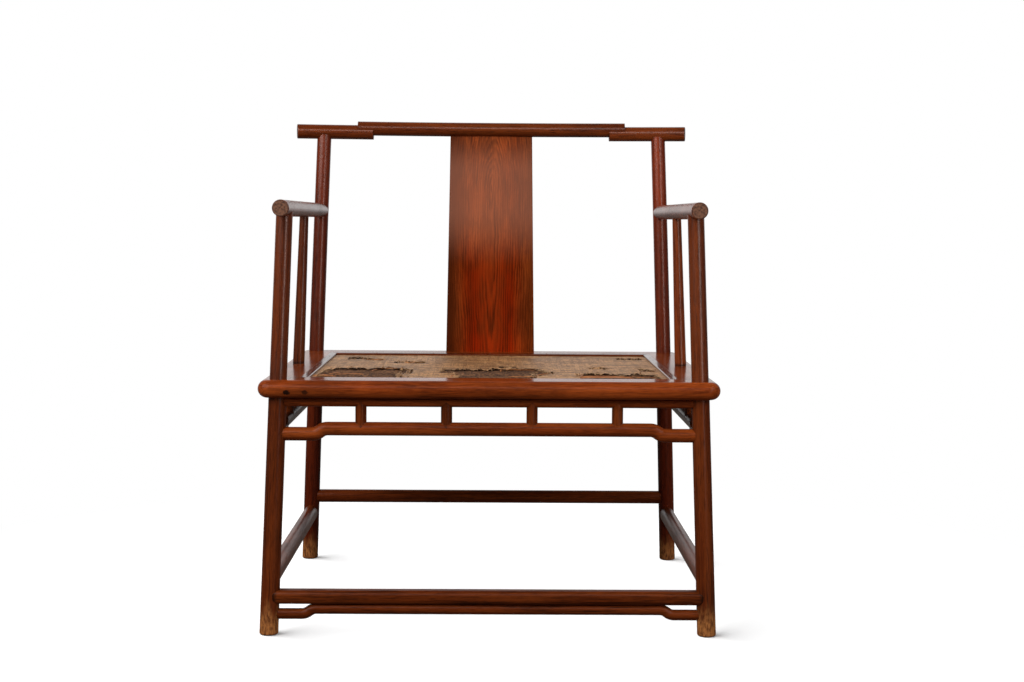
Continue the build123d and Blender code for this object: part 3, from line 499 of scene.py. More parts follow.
# The outlines of the holes worn in the mat, in millimetres from the middle of the seat.
TEARS = [
    # front left
    [(-308, -262), (-312, -150), (-301, -64), (-290, -46), (-275, -50), (-268, -36), (-255, -50), (-244, -48),
     (-220, -52), (-205, -42), (-195, -26), (-185, -38), (-178, -58), (-160, -62), (-152, -72), (-150, -130),
     (-165, -150), (-168, -176), (-158, -200), (-160, -262)],
    # front middle
    [(-62, -262), (-60, -180), (-72, -140), (-92, -115), (-90, -60), (-75, -56), (-60, -66), (-12, -66),
     (0, -60), (20, -54), (30, -58), (50, -48), (85, -46), (92, -60), (105, -85), (116, -115), (110, -135),
     (86, -150), (78, -190), (80, -262)],
    # front right
    [(162, -262), (161, -152), (171, -143), (188, -141), (196, -126), (204, -123), (212, -139), (236, -147),
     (247, -162), (260, -152), (264, -134), (276, -132), (279, -156), (302, -160), (306, -186), (300, -262)],
    # rear left
    [(-282, 188), (-264, 194), (-250, 184), (-243, 168), (-226, 170), (-211, 158), (-214, 138), (-240, 140),
     (-254, 160), (-272, 158), (-281, 172)],
    # left of the middle
    [(-178, 98), (-160, 100), (-146, 92), (-130, 91), (-130, 85), (-148, 84), (-163, 92), (-177, 92)],
    # rear right
    [(258, 194), (268, 204), (276, 195), (288, 203), (300, 193), (308, 202), (316, 196), (316, 180),
     (306, 185), (294, 177), (284, 184), (272, 179), (260, 185)],
    # right edge
    [(284, -30), (300, -50), (311, -54), (311, -80), (300, -76), (286, -70)],
    # two small ones near the middle
    [(26, 9), (36, 6), (34, -12), (27, -9)],
    [(190, -14), (199, -22), (212, -16), (224, -24), (221, -34), (208, -30), (197, -38), (189, -28)],
]  # fmt: skip


def edges(outline):
    """The straight edges of a closed outline, as pairs of corners."""
    return zip(outline, outline[1:] + outline[:1])


def torn(x, y):
    """Signed distance in metres from points to the nearest tear's outline: positive inside a tear."""
    x, y = np.asarray(x, float) / MM, np.asarray(y, float) / MM
    depth = np.full(x.shape, -1e3)
    for outline in TEARS:
        inside = np.zeros(x.shape, bool)
        nearest = np.full(x.shape, 1e3)
        for (x0, y0), (x1, y1) in edges(outline):
            run_x, run_y = x1 - x0, y1 - y0
            share = np.clip(((x - x0) * run_x + (y - y0) * run_y) / (run_x**2 + run_y**2), 0, 1)
            nearest = np.minimum(nearest, np.hypot(x - x0 - share * run_x, y - y0 - share * run_y))
            if y0 != y1:
                crossing = x0 + (y - y0) * run_x / run_y
                inside ^= ((y0 > y) != (y1 > y)) & (x < crossing)
        depth = np.maximum(depth, np.where(inside, nearest, -nearest))
    return depth * MM


def uneven(generator, count, run):
    """Random numbers of about unit size, in which neighbours within a run are alike."""
    return np.convolve(generator.normal(0, 1, count), np.ones(run) / run**0.5, "same")


# How far the tears' edges stray, in millimetres: by row, by column, in waves and in bundles of columns.
STRAY_ROW, STRAY_COLUMN, STRAY_WAVE, STRAY_BUNDLE = 2.2, 2.6, 3, 6
# How far the mat stands above its level, in millimetres: its waves, its strands and its curled torn edges.
WAVES, STRANDS, CURLS = 0.3, 0.07, 2.4
# How far from the rails it comes to its full waves, and from a tear's outline the curl fades, in metres.
HELD_BAND, CURLED_BAND = 0.02, 0.016


def opening(look):
    """Half the width and half the depth of the opening inside the frame's rails."""
    return FRAME_HIGH.x - look.rail_width, FRAME_HIGH.y - look.rail_width


def kept_cells(look, generator, x, y):
    """Which of the cells round these middles are left: those on the rails and those outside the tears."""
    columns, rows = x.shape
    frayed = generator.normal(0, STRAY_ROW * MM, (1, rows))
    frayed = frayed + generator.normal(0, STRAY_COLUMN * MM, (columns, 1))
    frayed = frayed + ripple(x * 2, y * 2, 11) * STRAY_WAVE * MM
    frayed = frayed + uneven(generator, columns, 3)[:, None] * STRAY_BUNDLE * MM
    open_x, open_y = opening(look)
    held = (np.abs(x) > open_x - look.strand) | (np.abs(y) > open_y - look.strand)
    return (torn(x, y) + frayed < 0) | held


def mat_relief(look, generator, x, y):
    """How far these corners of the weave stand above the mat's level."""
    open_x, open_y = opening(look)
    free = np.clip((open_x - np.abs(x)) / HELD_BAND, 0, 1) * np.clip((open_y - np.abs(y)) / HELD_BAND, 0, 1)
    away = torn(x, y)
    reach = 6 * MM
    behind_tear = np.clip((torn(x, y - reach) - away) / reach, 0, 1)
    edge = np.clip(1 + away / CURLED_BAND, 0, 1) ** 2 * behind_tear
    over = np.add.outer(np.arange(x.shape[0]), np.arange(x.shape[1])) % 2 == 0
    lift = ripple(x, y, 3) * WAVES * MM + np.where(over, 1.0, -1.0) * STRANDS * MM
    curl = 0.75 + 0.4 * ripple(x * 4, y * 4, 8) + 0.45 * uneven(generator, x.shape[0], 2)[:, None]
    return free * (lift + edge * curl * CURLS * MM)


def build_mat(look):
    """A thin woven plate with ragged holes. Returns vertices, faces and the share of it that is left."""
    columns = int(round((MAT_HIGH.x - MAT_LOW.x) / look.strand))
    rows = int(round((MAT_HIGH.y - MAT_LOW.y) / look.strand))
    xs = np.linspace(MAT_LOW.x, MAT_HIGH.x, columns + 1)
    ys = np.linspace(MAT_LOW.y, MAT_HIGH.y, rows + 1)
    generator = np.random.default_rng(5)
    middles = np.meshgrid((xs[:-1] + xs[1:]) / 2, (ys[:-1] + ys[1:]) / 2, indexing="ij")
    present = kept_cells(look, generator, *middles)
    x, y = np.meshgrid(xs, ys, indexing="ij")
    top = MAT_HIGH.z + mat_relief(look, generator, x, y)
    index = np.arange(x.size).reshape(x.shape)
    faces = []
    for i, j in zip(*np.nonzero(present)):
        corners = (index[i, j], index[i + 1, j], index[i + 1, j + 1], index[i, j + 1])
        faces.append(corners)
        faces.append(tuple(corner + x.size for corner in reversed(corners)))
        for side, (column, row) in enumerate(((i, j - 1), (i + 1, j), (i, j + 1), (i - 1, j))):
            inside = 0 <= column < columns and 0 <= row < rows
            if not inside or not present[column, row]:
                start, end = corners[side], corners[(side + 1) % 4]
                faces.append((start, start + x.size, end + x.size, end))
    sheets = [np.stack((x, y, z), -1).reshape(-1, 3) for z in (top, top - look.thickness)]
    points = np.concatenate(sheets)
    kept = np.unique(np.concatenate([np.asarray(face) for face in faces]))
    renumbered = np.zeros(len(points), int)
    renumbered[kept] = np.arange(len(kept))
    return points[kept], [renumbered[list(face)] for face in faces], present.sum() / present.size


def sleeve(rings):
    """A closed solid through equal rings of points. Returns vertices and faces."""
    sides = len(rings[0])
    vertices = [point for ring in rings for point in ring]
    last = len(vertices) - sides
    faces = [tuple(range(sides)), tuple(reversed(range(last, len(vertices))))]
    for base in range(0, last, sides):
        for a in range(sides):
            b = (a + 1) % sides
            faces.append((base + a, base + sides + a, base + sides + b, base + b))
    return vertices, faces


def splint(points, widths, thickness, across):
    """A flat splint along points, as wide at each as widths says."""
    up = UP * thickness / 2
    sides = [across * width / 2 for width in widths]
    return sleeve([[p - s - up, p + s - up, p + s + up, p - s + up] for p, s in zip(points, sides)])


def tube(points, radius, sides=6):
    """A round cord along points."""
    angles = [2 * pi * a / sides for a in range(sides)]
    rings = []
    for k, point in enumerate(points):
        ahead = points[min(k + 1, len(points) - 1)] - points[max(k - 1, 0)]
        side = ahead.cross(UP).normalized()
        up = side.cross(ahead).normalized()
        rings.append([point + side * (cos(angle) * radius) + up * (sin(angle) * radius) for angle in angles])
    return sleeve(rings)


def merge(parts):
    """Joins several (vertices, faces) into one."""
    vertices, faces = [], []
    for some_vertices, some_faces in parts:
        start = len(vertices)
        vertices += some_vertices
        faces += [tuple(start + i for i in face) for face in some_faces]
    return vertices, faces


# The thickness of a short and of a long broken splint and the width of a long one, in millimetres.
SHORT_THICKNESS, LONG_THICKNESS, LONG_WIDTH = 0.4, 0.6, 2.6
# A broken splint starts behind this y, and stays this close to the seat's middle in x and y, in metres.
SPLINTS_START_Y = -0.215
SPLINTS_REACH = (0.313, 0.253)


def frayed_ends(seed, spacing, scatter=2.0):
    """Broken cane splints that stand out and curl round the tears' edges, spaced in millimetres."""
    generator = np.random.default_rng(seed)
    parts = []
    for outline in TEARS:
        for (x0, y0), (x1, y1) in edges(outline):
            length = np.hypot(x1 - x0, y1 - y0)
            for _ in range(int(length / spacing)):
                share = generator.random()
                x = (x0 + (x1 - x0) * share + generator.normal(0, scatter)) * MM
                y = (y0 + (y1 - y0) * share + generator.normal(0, scatter)) * MM
                if y > SPLINTS_START_Y:
                    parts += broken_splint(generator, x, y)
    return merge(parts)


def broken_splint(generator, x, y):
    """One short splint that starts at a tear's edge and lies mostly over the hole, or none."""
    turn = generator.choice([0, 0.5, 1, 1.5]) * pi + generator.normal(0, 0.22)
    direction = Vector((cos(turn), sin(turn), 0))
    reach = 6 * MM
    if torn(x + direction.x * reach, y + direction.y * reach) < torn(x, y) and generator.random() < 0.8:
        direction.negate()
    length = generator.uniform(4, 16) * MM
    rise = generator.uniform(0.0, 5.0) * MM
    droop = generator.uniform(0.0, 1.4) * MM
    sweep = generator.normal(0, 0.35)
    points = []
    for share in (0, 0.25, 0.5, 0.75, 1):
        turned = Matrix.Rotation(sweep * share, 3, "Z") @ direction
        height = MAT_HIGH.z + 0.5 * MM + rise * sin(pi * share * 0.8) - droop * share
        points.append(Vector((x, y, height)) + turned * (length * share))
    if any(abs(point.x) > SPLINTS_REACH[0] or abs(point.y) > SPLINTS_REACH[1] for point in points):
        return []
    width = generator.uniform(0.8, 2.0) * MM
    widths = [width, width, width, width * 0.8, width * 0.3]
    return [splint(points, widths, SHORT_THICKNESS * MM, direction.cross(UP))]


# Long splints that lie loose: middle x, y, length in millimetres and turn in degrees.
LOOSE_SPLINTS = [
    (205, -180, 80, 0.6), (203, -186, 80, -0.8), (207, -192, 88, 0.5), (210, -198, 94, 0),
    (206, -204, 86, -0.5), (212, -210, 96, 0.5), (167, -172, 72, 84), (258, -188, 30, 12),
    (284, -196, 34, -8), (-305, -190, 30, 22), (-300, -184, 34, -8), (-306, -176, 26, 14),
    (-298, -200, 44, 6), (-284, -140, 40, 66), (-216, -76, 34, 82), (-256, -160, 52, 6), (-68, -186, 46, 82),
    (22, -70, 36, 86), (60, -196, 54, 3), (98, -150, 46, 60), (-258, 172, 22, 80), (-226, 150, 32, 2),
    (-234, 145, 30, -3), (-150, 86, 34, 1), (44, -62, 30, -2), (66, -58, 34, 2), (-188, -48, 46, -1),
    (290, 200, 38, 78),
]  # fmt: skip


def loose_splints(seed):
    """The longest broken splints, lying nearly straight over the tears."""
    generator = np.random.default_rng(seed)
    parts = []
    for middle_x, middle_y, length, turn in LOOSE_SPLINTS:
        direction = Vector((cos(radians(turn)), sin(radians(turn)), 0))
        across = direction.cross(UP)
        middle = Vector((middle_x * MM, middle_y * MM, MAT_HIGH.z))
        bow = generator.uniform(0.3, 1.6) * MM
        points, widths = [], []
        for share in np.linspace(0, 1, 12):
            wander = across * (sin(share * 5 + middle_x) * 1.2 * MM)
            lift = UP * (bow * sin(pi * share))
            points.append(middle + direction * (length * MM * (share - 0.5)) + wander + lift)
            widths.append(LONG_WIDTH * MM * (1 - 0.5 * abs(2 * share - 1) ** 3))
        parts.append(splint(points, widths, LONG_THICKNESS * MM, across))
    return merge(parts)


def palm_net(look):
    """Cords of twisted palm fibre: close rows from side to side, laced to cords from front to back."""
    generator = np.random.default_rng(31)
    low, high = WEBBING_LOW, WEBBING_HIGH
    radius, tie_radius, usual_sway = look.cord / 2, look.cord / 2 * 0.75, 0.18 * MM
    width, depth = high.x - low.x - look.cord, high.y - low.y - look.cord
    middle, swing = (low.z + high.z) / 2, (high.z - low.z - look.cord) / 2
    rows, ties = int(depth / look.row_pitch), int(width / look.tie_pitch)
    tie_pitch = (high.x - low.x - 2 * look.cord) / ties
    parts = []
    for row in range(rows + 1):
        y = low.y + radius + row * depth / rows
        points = []
        for k in range(3 * ties + 1):
            x = low.x + radius + k * width / (3 * ties)
            wave = sin(pi * (x - low.x) / tie_pitch + pi * (row % 2))
            sway = generator.normal(0, usual_sway)
            points.append(Vector((x, y + sway, middle + wave * swing)))
        parts.append(tube(points, radius))
    for tie in range(ties + 1):
        x = low.x + look.cord + tie * tie_pitch
        points = []
        for k in range(2 * rows + 1):
            y = low.y + radius + k * depth / (2 * rows)
            wave = cos(pi * k / 2 + pi * tie)
            points.append(Vector((x, y, middle - wave * swing)))
        parts.append(tube(points, tie_radius))
    return merge(parts)


# --- Settings ---------------------------------------------------------------
def number_setting(name, description, default, **limits):
    """A plain number a user may change."""
    return bpy.props.FloatProperty(name=name, description=description, default=default, **limits)


def colour_setting(name, description, default):
    """A colour a user may change, in linear light."""
    return bpy.props.FloatVectorProperty(
        name=name, description=description, subtype="COLOR", size=3, min=0, max=1, default=default
    )


def length_setting(name, description, default):
    """A length a user may change, in metres."""
    return number_setting(name, description, default, unit="LENGTH", min=0)


def place_setting(name, description, default):
    """A point a user may move."""
    return bpy.props.FloatVectorProperty(
        name=name, description=description, subtype="TRANSLATION", default=default
    )


def angle_setting(name, description, degrees):
    """An angle a user may change."""
    return number_setting(name, description, radians(degrees), subtype="ANGLE")


class ArmchairStageSettings(bpy.types.PropertyGroup):
    """Camera, floor and studio light."""

    lens: number_setting("Lens", "Focal length on a 36 mm wide sensor", 57.30, unit="CAMERA")
    camera_place: place_setting("Camera", "Where the camera stands", (0.0038, -3.1227, 0.7228))
    camera_down: angle_setting("Down", "Tilt below the horizon", 4.254)
    camera_aside: angle_setting("Aside", "Turn towards the sitter's left arm", 0.706)
    camera_roll: angle_setting("Roll", "Clockwise turn of the view", 0.397)
    floor: colour_setting("Floor", "Pale studio floor", (0.8, 0.8, 0.8))
    brightness: number_setting("Brightness", "Share of every panel's full power", 1.0, min=0)
    floor_sun: number_setting("Floor sun", "Strength of the low sun that only the floor receives", 5.6, min=0)
    backdrop: number_setting("Backdrop", "How bright the wall behind the chair is", 1.0, min=0)


class ArmchairTimberSettings(bpy.types.PropertyGroup):
    """The oiled hardwood of every round member and the seat frame."""

    pale: colour_setting("Pale", "Lightest bands of the grain", (0.27, 0.052, 0.0085))
    body: colour_setting("Body", "Main tone", (0.165, 0.026, 0.0035))
    dark: colour_setting("Dark", "Streaks and pores", (0.034, 0.0062, 0.0016))
    end_face: colour_setting("End face", "Dry sawn ends", (0.145, 0.062, 0.034))
    end_ring: colour_setting("End rings", "Rings and rim of the ends", (0.03, 0.012, 0.007))
    worn: colour_setting("Worn feet", "Bleached wood near the floor", (0.36, 0.135, 0.038))
    worn_dark: colour_setting("Stained feet", "Dark mottling near the floor", (0.085, 0.03, 0.01))
    worn_height: length_setting("Worn height", "How far up the feet are bleached", 0.062)
    wax: number_setting("Wax", "Weight of the wax coat", 0.08, min=0, max=1)
    sheen: colour_setting("Sheen", "Warm tint of the oiled surface's highlights", (1.0, 0.78, 0.7))


class ArmchairSplatSettings(bpy.types.PropertyGroup):
    """The figured board of the back."""

    pale: colour_setting("Pale", "Lightest bands", (0.36, 0.07, 0.012))
    body: colour_setting("Body", "Main tone", (0.23, 0.036, 0.004))
    dark: colour_setting("Dark", "Dark lines of the figure", (0.042, 0.0075, 0.0018))
    ember: colour_setting("Ember", "Redder wood towards the seat", (0.165, 0.0072, 0.0001))
    # Painted sheen: greyish colour standing in for the highlight on the splat's upper half.
    painted_sheen: colour_setting("Painted sheen", "Dull wax on the upper half", (0.27, 0.11, 0.07))
    ring_width: length_setting("Ring width", "Distance between two lines of the figure", 0.0048)


class ArmchairMatSettings(bpy.types.PropertyGroup):
    """The woven cane mat."""

    strand: length_setting("Strand", "Width of one cane strand", 0.0025)
    thickness: length_setting("Thickness", "Thickness of the mat", 0.0012)
    rail_width: length_setting("Rail width", "Width of a frame rail, which the opening stays clear of", 0.081)
    bright: colour_setting("Bright", "Clean strands", (0.74, 0.39, 0.165))
    dull: colour_setting("Dull", "Aged strands", (0.25, 0.11, 0.038))
    dirt: colour_setting("Dirt", "Grey dirt", (0.26, 0.155, 0.085))
    damp: colour_setting("Damp", "Brown patches", (0.17, 0.075, 0.03))
    stain: colour_setting("Stain", "One red-brown spill near the middle", (0.12, 0.035, 0.01))
    stain_place: place_setting("Stain place", "Middle of the spill", (-0.005, 0.02, 0.44))
    gap: colour_setting("Gap", "Shadow between strands", (0.04, 0.02, 0.01))


class ArmchairFibreSettings(bpy.types.PropertyGroup):
    """The palm webbing below the mat and the broken splints above it."""

    cord: length_setting("Cord", "Thickness of one palm cord", 0.0029)
    row_pitch: length_setting("Row pitch", "Distance between the rows of cord", 0.003)
    tie_pitch: length_setting("Tie pitch", "Distance between the cords that run front to back", 0.019)
    palm_dark: colour_setting("Palm dark", "Shaded fibre", (0.018, 0.007, 0.003))
    palm_light: colour_setting("Palm light", "Rubbed fibre", (0.25, 0.11, 0.047))
    frayed_dark: colour_setting("Frayed dark", "Stained ends round the tears", (0.09, 0.032, 0.01))
    frayed_light: colour_setting("Frayed light", "Pale ends round the tears", (0.68, 0.42, 0.22))
    straw_dark: colour_setting("Straw dark", "Stained splints", (0.26, 0.068, 0.01))
    straw_light: colour_setting("Straw light", "Fresh splints", (0.7, 0.26, 0.07))


# --- Operators --------------------------------------------------------------
# Each panel: name, place, point it faces, width, height and radiance.
PANELS = [
    ("left_window", (-2.2, -1.9, 2.4), (0.0, 0.0, 0.4), 3.2, 2.2, 6.5),
    ("right_window", (2.4, -1.9, 2.4), (0.0, 0.0, 0.4), 2.0, 1.6, 5.0),
    ("front_softbox", (0.0, -3.0, 2.45), (0.0, 0.0, 0.8), 1.8, 0.8, 4.5),
    ("right_strip", (1.75, -2.9, 0.85), (0.0, 0.0, 0.6), 0.65, 1.7, 5.0),
]
# The way the floor's sun shines, and how wide it is.
FLOOR_SUN_WAY = (1, 0.1, -0.84)
FLOOR_SUN_WIDTH = radians(80)
# Half the floor's side, its level just under the feet, and the radii between which it fades to white.
FLOOR_REACH, FLOOR_LEVEL, FLOOR_FADES = 8.0, -0.0002, (0.8, 1.3)
# What the floor glows by itself, what it looks like to the chair, and the glow of the dim room.
FLOOR_GLOW, FLOOR_UNSEEN, ROOM_GLOW = 0.22, (0.12, 0.11, 0.1, 1.0), 0.09


def add_lamp(name, kind, ahead, **settings):
    """A lamp that shines one way."""
    light = bpy.data.lights.new(name, kind)
    for key, value in settings.items():
        setattr(light, key, value)
    lamp = bpy.data.objects.new(name, light)
    lamp.rotation_euler = ahead.to_track_quat("-Z", "Y").to_euler()
    bpy.context.scene.collection.objects.link(lamp)
    return lamp


def light_panel(name, place, aim, width, height, radiance):
    """A soft panel of even radiance that faces a point."""
    size = {"shape": "RECTANGLE", "size": width, "size_y": height}
    panel = add_lamp(name, "AREA", Vector(aim) - Vector(place), energy=pi * width * height * radiance, **size)
    panel.location = place
    return panel


def light_group(name, pieces, state):
    """A collection that lets a lamp reach its pieces, or keeps it off them."""
    group = bpy.data.collections.new(name)
    for piece in pieces:
        group.objects.link(piece)
    for member in group.collection_objects:
        member.light_linking.link_state = state
    return group


class ARMCHAIR_OT_stage(bpy.types.Operator):
    """Sets the camera, the pale floor and the soft studio light"""

    bl_idname = "armchair.stage"
    bl_label = "Set the stage"

    def execute(self, context):
        look = context.scene.armchair_stage
        context.scene.view_settings.view_transform = "Standard"
        self.place_camera(context, look)
        floor = self.lay_floor(look)
        self.light_world(context, look)
        for name, place, aim, width, height, radiance in PANELS:
            panel = light_panel(name, place, aim, width, height, radiance * look.brightness)
            panel.light_linking.receiver_collection = light_group(f"{name}_spares", [floor], "EXCLUDE")
        self.shine_on_floor(look, floor)
        return {"FINISHED"}

    def place_camera(self, context, look):
        """A level camera, tilted down, turned aside and rolled."""
        camera = bpy.data.objects.new("camera", bpy.data.cameras.new("camera"))
        context.scene.collection.objects.link(camera)
        camera.data.sensor_width = 36.0
        camera.data.lens = look.lens
        aside, down, roll = look.camera_aside, look.camera_down, look.camera_roll
        ahead = Vector((sin(aside) * cos(down), cos(aside) * cos(down), -sin(down)))
        level_right = Vector((cos(aside), -sin(aside), 0))
        level_up = level_right.cross(ahead)
        right = level_right * cos(roll) + level_up * sin(roll)
        up = level_up * cos(roll) - level_right * sin(roll)
        turn = Matrix((right, up, -ahead)).transposed()
        camera.matrix_world = Matrix.Translation(look.camera_place) @ turn.to_4x4()
        camera.data.clip_start = 0.05
        context.scene.camera = camera

    def shine_on_floor(self, look, floor):
        """A broad low sun from the left, for the floor alone, that lays a short shadow by each foot."""
        way = Vector(FLOOR_SUN_WAY)
        sun = add_lamp("floor_sun", "SUN", way, angle=FLOOR_SUN_WIDTH, energy=look.floor_sun)
        legs = [piece for node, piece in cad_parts.items() if "_leg_post_" in node]
        sun.light_linking.receiver_collection = light_group("floor_sun_lights", [floor], "INCLUDE")
        sun.light_linking.blocker_collection = light_group("floor_sun_shadows", legs, "INCLUDE")

    def lay_floor(self, look):
        """A pale floor that fades to white away from the chair and lights it only faintly."""
        mesh = bpy.data.meshes.new("floor")
        corners = ((-1, -1), (1, -1), (1, 1), (-1, 1))
        points = [(x * FLOOR_REACH, y * FLOOR_REACH, FLOOR_LEVEL) for x, y in corners]
        mesh.from_pydata(points, [], [(0, 1, 2, 3)])
        floor = bpy.data.objects.new("floor", mesh)
        bpy.context.scene.collection.objects.link(floor)
        material = bpy.data.materials.new("pale_floor")
        mesh.materials.append(material)
        w = empty_wiring(material)
        away = w.step(w.vector("LENGTH", w.add("ShaderNodeTexCoord").outputs["Object"]), *FLOOR_FADES)
        diffuse = w.add("ShaderNodeBsdfDiffuse", {"Color": rgba(look.floor)}).outputs[0]
        glow = w.add("ShaderNodeEmission", {"Strength": FLOOR_GLOW}).outputs[0]
        lit = w.add("ShaderNodeAddShader", (diffuse, glow)).outputs[0]
        faded = w.choose(away, lit, w.add("ShaderNodeEmission").outputs[0])
        unseen = w.add("ShaderNodeBsdfDiffuse", {"Color": FLOOR_UNSEEN}).outputs[0]
        seen = w.add("ShaderNodeLightPath").outputs["Is Camera Ray"]
        w.add("ShaderNodeOutputMaterial", {"Surface": w.choose(seen, unseen, faded)})
        return floor

    def light_world(self, context, look):
        """White to the camera; for everything else a bright wall behind and a dim room in front."""
        world = bpy.data.worlds.new("studio")
        context.scene.world = world
        w = empty_wiring(world)
        _, back, up = w.split(w.add("ShaderNodeTexCoord").outputs["Generated"])
        wall = w.times(w.step(back, 0.45, 0.93), w.step(up, -0.12, 0.05))
        glow = w.times(wall, look.backdrop, plus=ROOM_GLOW)
        room = w.add("ShaderNodeBackground", {"Strength": glow}).outputs[0]
        white = w.add("ShaderNodeBackground", {"Color": (1, 1, 1, 1)}).outputs[0]
        seen = w.add("ShaderNodeLightPath").outputs["Is Camera Ray"]
        w.add("ShaderNodeOutputWorld", {"Surface": w.choose(seen, room, white)})


def middle_of(node):
    """The middle of a node's box."""
    low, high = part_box(node)
    return tuple((low + high) / 2)


def dress(node, material):
    """Gives a frame node one material in place of its own."""
    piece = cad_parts[node]
    piece.data.materials.clear()
    piece.data.materials.append(material)


# Pieces that butt against a leg or another rail, darker near the joint.
JOINED = (
    "foot_", "side_stretcher", "rear_stretcher", "front_apron", "front_hump", "rear_apron", "rear_hump",
    "left_", "right_", "arm_side",
)  # fmt: skip
# Where two small knots show in the front of the seat, with their radii and how dark they are.
FRONT_KNOTS = (((-0.3482, -0.337, 0.425), 0.0034, 0.95), ((-0.3165, -0.337, 0.4255), 0.003, 0.75))
# The end grain's radius, in metres, for square timber: too large for a dark rim to show.
RIMLESS = 1.0
# The lower timbers are duller than the others.
LOWER = {"rough": 0.42, "shine": 0.05}
# The way each side of the seat runs, and the level timbers that stand alone.
RUNS = {"front": (1, 0, 0), "rear": (1, 0, 0), "left": (0, 1, 0), "right": (0, 1, 0)}
# Each timber's shade value is painted shading: its tone is darkened for the light it gets.
TIMBERS = {
    "crest_rail_centre": {"along": (1, 0, 0), "seed": 61, "shade": 0.5, "streaks": 0.8, "rough": 0.24},
    "crest_scarf_pins": {"along": (0, 0, 1), "seed": 62},
    "foot_stretcher_front": {"along": (1, 0, 0), "seed": 131, "shade": 0.43, "streaks": 0.8, **LOWER},
    "foot_humpback_front": {"along": (1, 0, 0), "seed": 137, "shade": 0.5, "streaks": 0.8, **LOWER},
    "rear_stretcher": {"along": (1, 0, 0), "seed": 142, "shade": 0.54, "streaks": 0.8, **LOWER},
}
# The hearts of the right-hand posts at one height, and how far they lean in for each metre of height.
LEG_X, LEG_Y, LEG_Z, LEG_LEAN, REAR_POST_LEAN = 0.366, 0.3065, 0.445, 0.036, 0.005
SIDE_POST_HEART, SIDE_POST_LEAN = (0.361, 0.0, 0.6), 0.04
CREST_END_HEART, CREST_END_SWEEP = (0.35, 0.3205, 0.904), 0.158


class ARMCHAIR_OT_timbers(bpy.types.Operator):
    """Gives every timber its own run of oiled hardwood"""

    bl_idname = "armchair.timbers"
    bl_label = "Finish the timbers"

    def execute(self, context):
        for make in (
            make_grain_group,
            make_end_grain_group,
            make_foot_wear_group,
            make_knot_group,
            make_flame_group,
            make_weave_group,
        ):
            make()
        for hand, side in (("left", -1), ("right", 1)):
            self.finish_posts(hand, side)
            self.finish_side(hand, side)
        for node, look in TIMBERS.items():
            self.finish(node, **look)
        for place, along in RUNS.items():
            self.finish_seat_side(place, along)
        return {"FINISHED"}

    def finish_seat_side(self, place, along):
        """The frame rail, edge strip and apron on one side of the seat."""
        seed = len(place)
        flank = along == RUNS["left"]
        rail_look = {"polished_top": True, "rough": 0.38, "shine": 0.05, "radius": RIMLESS}
        if place == "front":
            rail_look["knots"] = FRONT_KNOTS
        # Painted shading: the timbers under the seat and the edge strips are painted darker, as if in shade.
        bar_look = {"shade": 0.5, "rough": 0.3, "shine": 0.4} if flank else {"shade": 0.78, **LOWER}
        strut_look = {"shade": 0.5, "streaks": 0.8, **LOWER}
        self.finish(f"seat_frame_{place}", along, 70 + seed, **rail_look)
        self.finish(f"seat_edge_strip_{place}", along, 80 + seed, shade=0.4, rough=0.15, radius=RIMLESS)
        self.finish(f"{place}_apron_rail", along, 91 + seed, shade=0.7, **LOWER)
        self.finish(f"{place}_humpback_stretcher", along, 97 + seed, **bar_look)
        for number in range(1, 4 if flank else 5):
            node = f"{place}_apron_strut_{number}"
            self.finish(node, (0, 0, 1), 101 + number * 2.1 + seed, **strut_look)

    def finish_posts(self, hand, side):
        """The leg posts and the side post of one side, which lean; the rear ones are redder."""
        worn = {"worn_feet": True, "radius": 0.016, "rough": 0.27, "shine": 0.48}
        # Painted shading: the front legs are painted darker below the seat, the rear posts lighter above the
        # arms, and the right-hand rear and side posts lighter than the left.
        front = {"shade": 0.52, "shade_below": 0.88, "streaks": 0.7}
        rear_shades = {"shade": 0.4 + side * 0.06, "shade_below": 0.98 - side * 0.12, "shade_above": 1.5}
        rear = {"tint": (1.14, 0.78, 0.82), "streaks": 0.6, **rear_shades}
        for place, y, lean, seed, look in (
            ("front", -LEG_Y, LEG_LEAN, 7, front),
            ("rear", LEG_Y, -REAR_POST_LEAN, 13, rear),
        ):
            heart, along = (side * LEG_X, y, LEG_Z), (-side * LEG_LEAN, lean, 1)
            self.finish(f"{place}_leg_post_{hand}", along, seed + side, heart, **worn, **look)
        x, y, z = SIDE_POST_HEART
        # Painted light: the right side post is painted far lighter than the left one.
        look = {"shade": 0.65 + side * 0.27, "streaks": 0.8, "rough": 0.26, "shine": 0.4}
        along = (-side * SIDE_POST_LEAN, 0, 1)
        self.finish(f"arm_side_post_{hand}", along, 31 + side, (side * x, y, z), **look)

    def finish_side(self, hand, side):
        """The other timbers that the left and right of the chair each have one of."""
        x, y, z = CREST_END_HEART
        # Painted shading: the crest ends, arm rails, side stretchers and seat braces are painted darker for
        # the light they get.
        look = {"shade": 0.62, "streaks": 0.8, "rough": 0.25, "shine": 0.36}
        along = (1, -side * CREST_END_SWEEP, 0)
        self.finish(f"crest_rail_end_{hand}", along, 41 + side, (side * x, y, z), **look)
        to_rear = (0, 1, 0)
        self.finish(f"arm_rail_{hand}", to_rear, 21 + side, shade=0.7, rough=0.24)
        self.finish(f"side_stretcher_{hand}", to_rear, 51 + side, shade=0.6, rough=0.33, shine=0.14)
        self.finish(f"seat_brace_{hand}", to_rear, 55 + side, shade=0.6, rough=0.5)

    def finish(self, node, along, seed, heart=None, **look):
        """Dresses one timber; its grain runs through its heart, or else through its middle."""
        if node.startswith(JOINED) and "strut" not in node:
            low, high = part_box(node)
            look["joint"] = max(high - low) / 2
        heart = heart or middle_of(node)
        dress(node, timber_material(f"hardwood_{node}", heart, along, float(seed), **look))


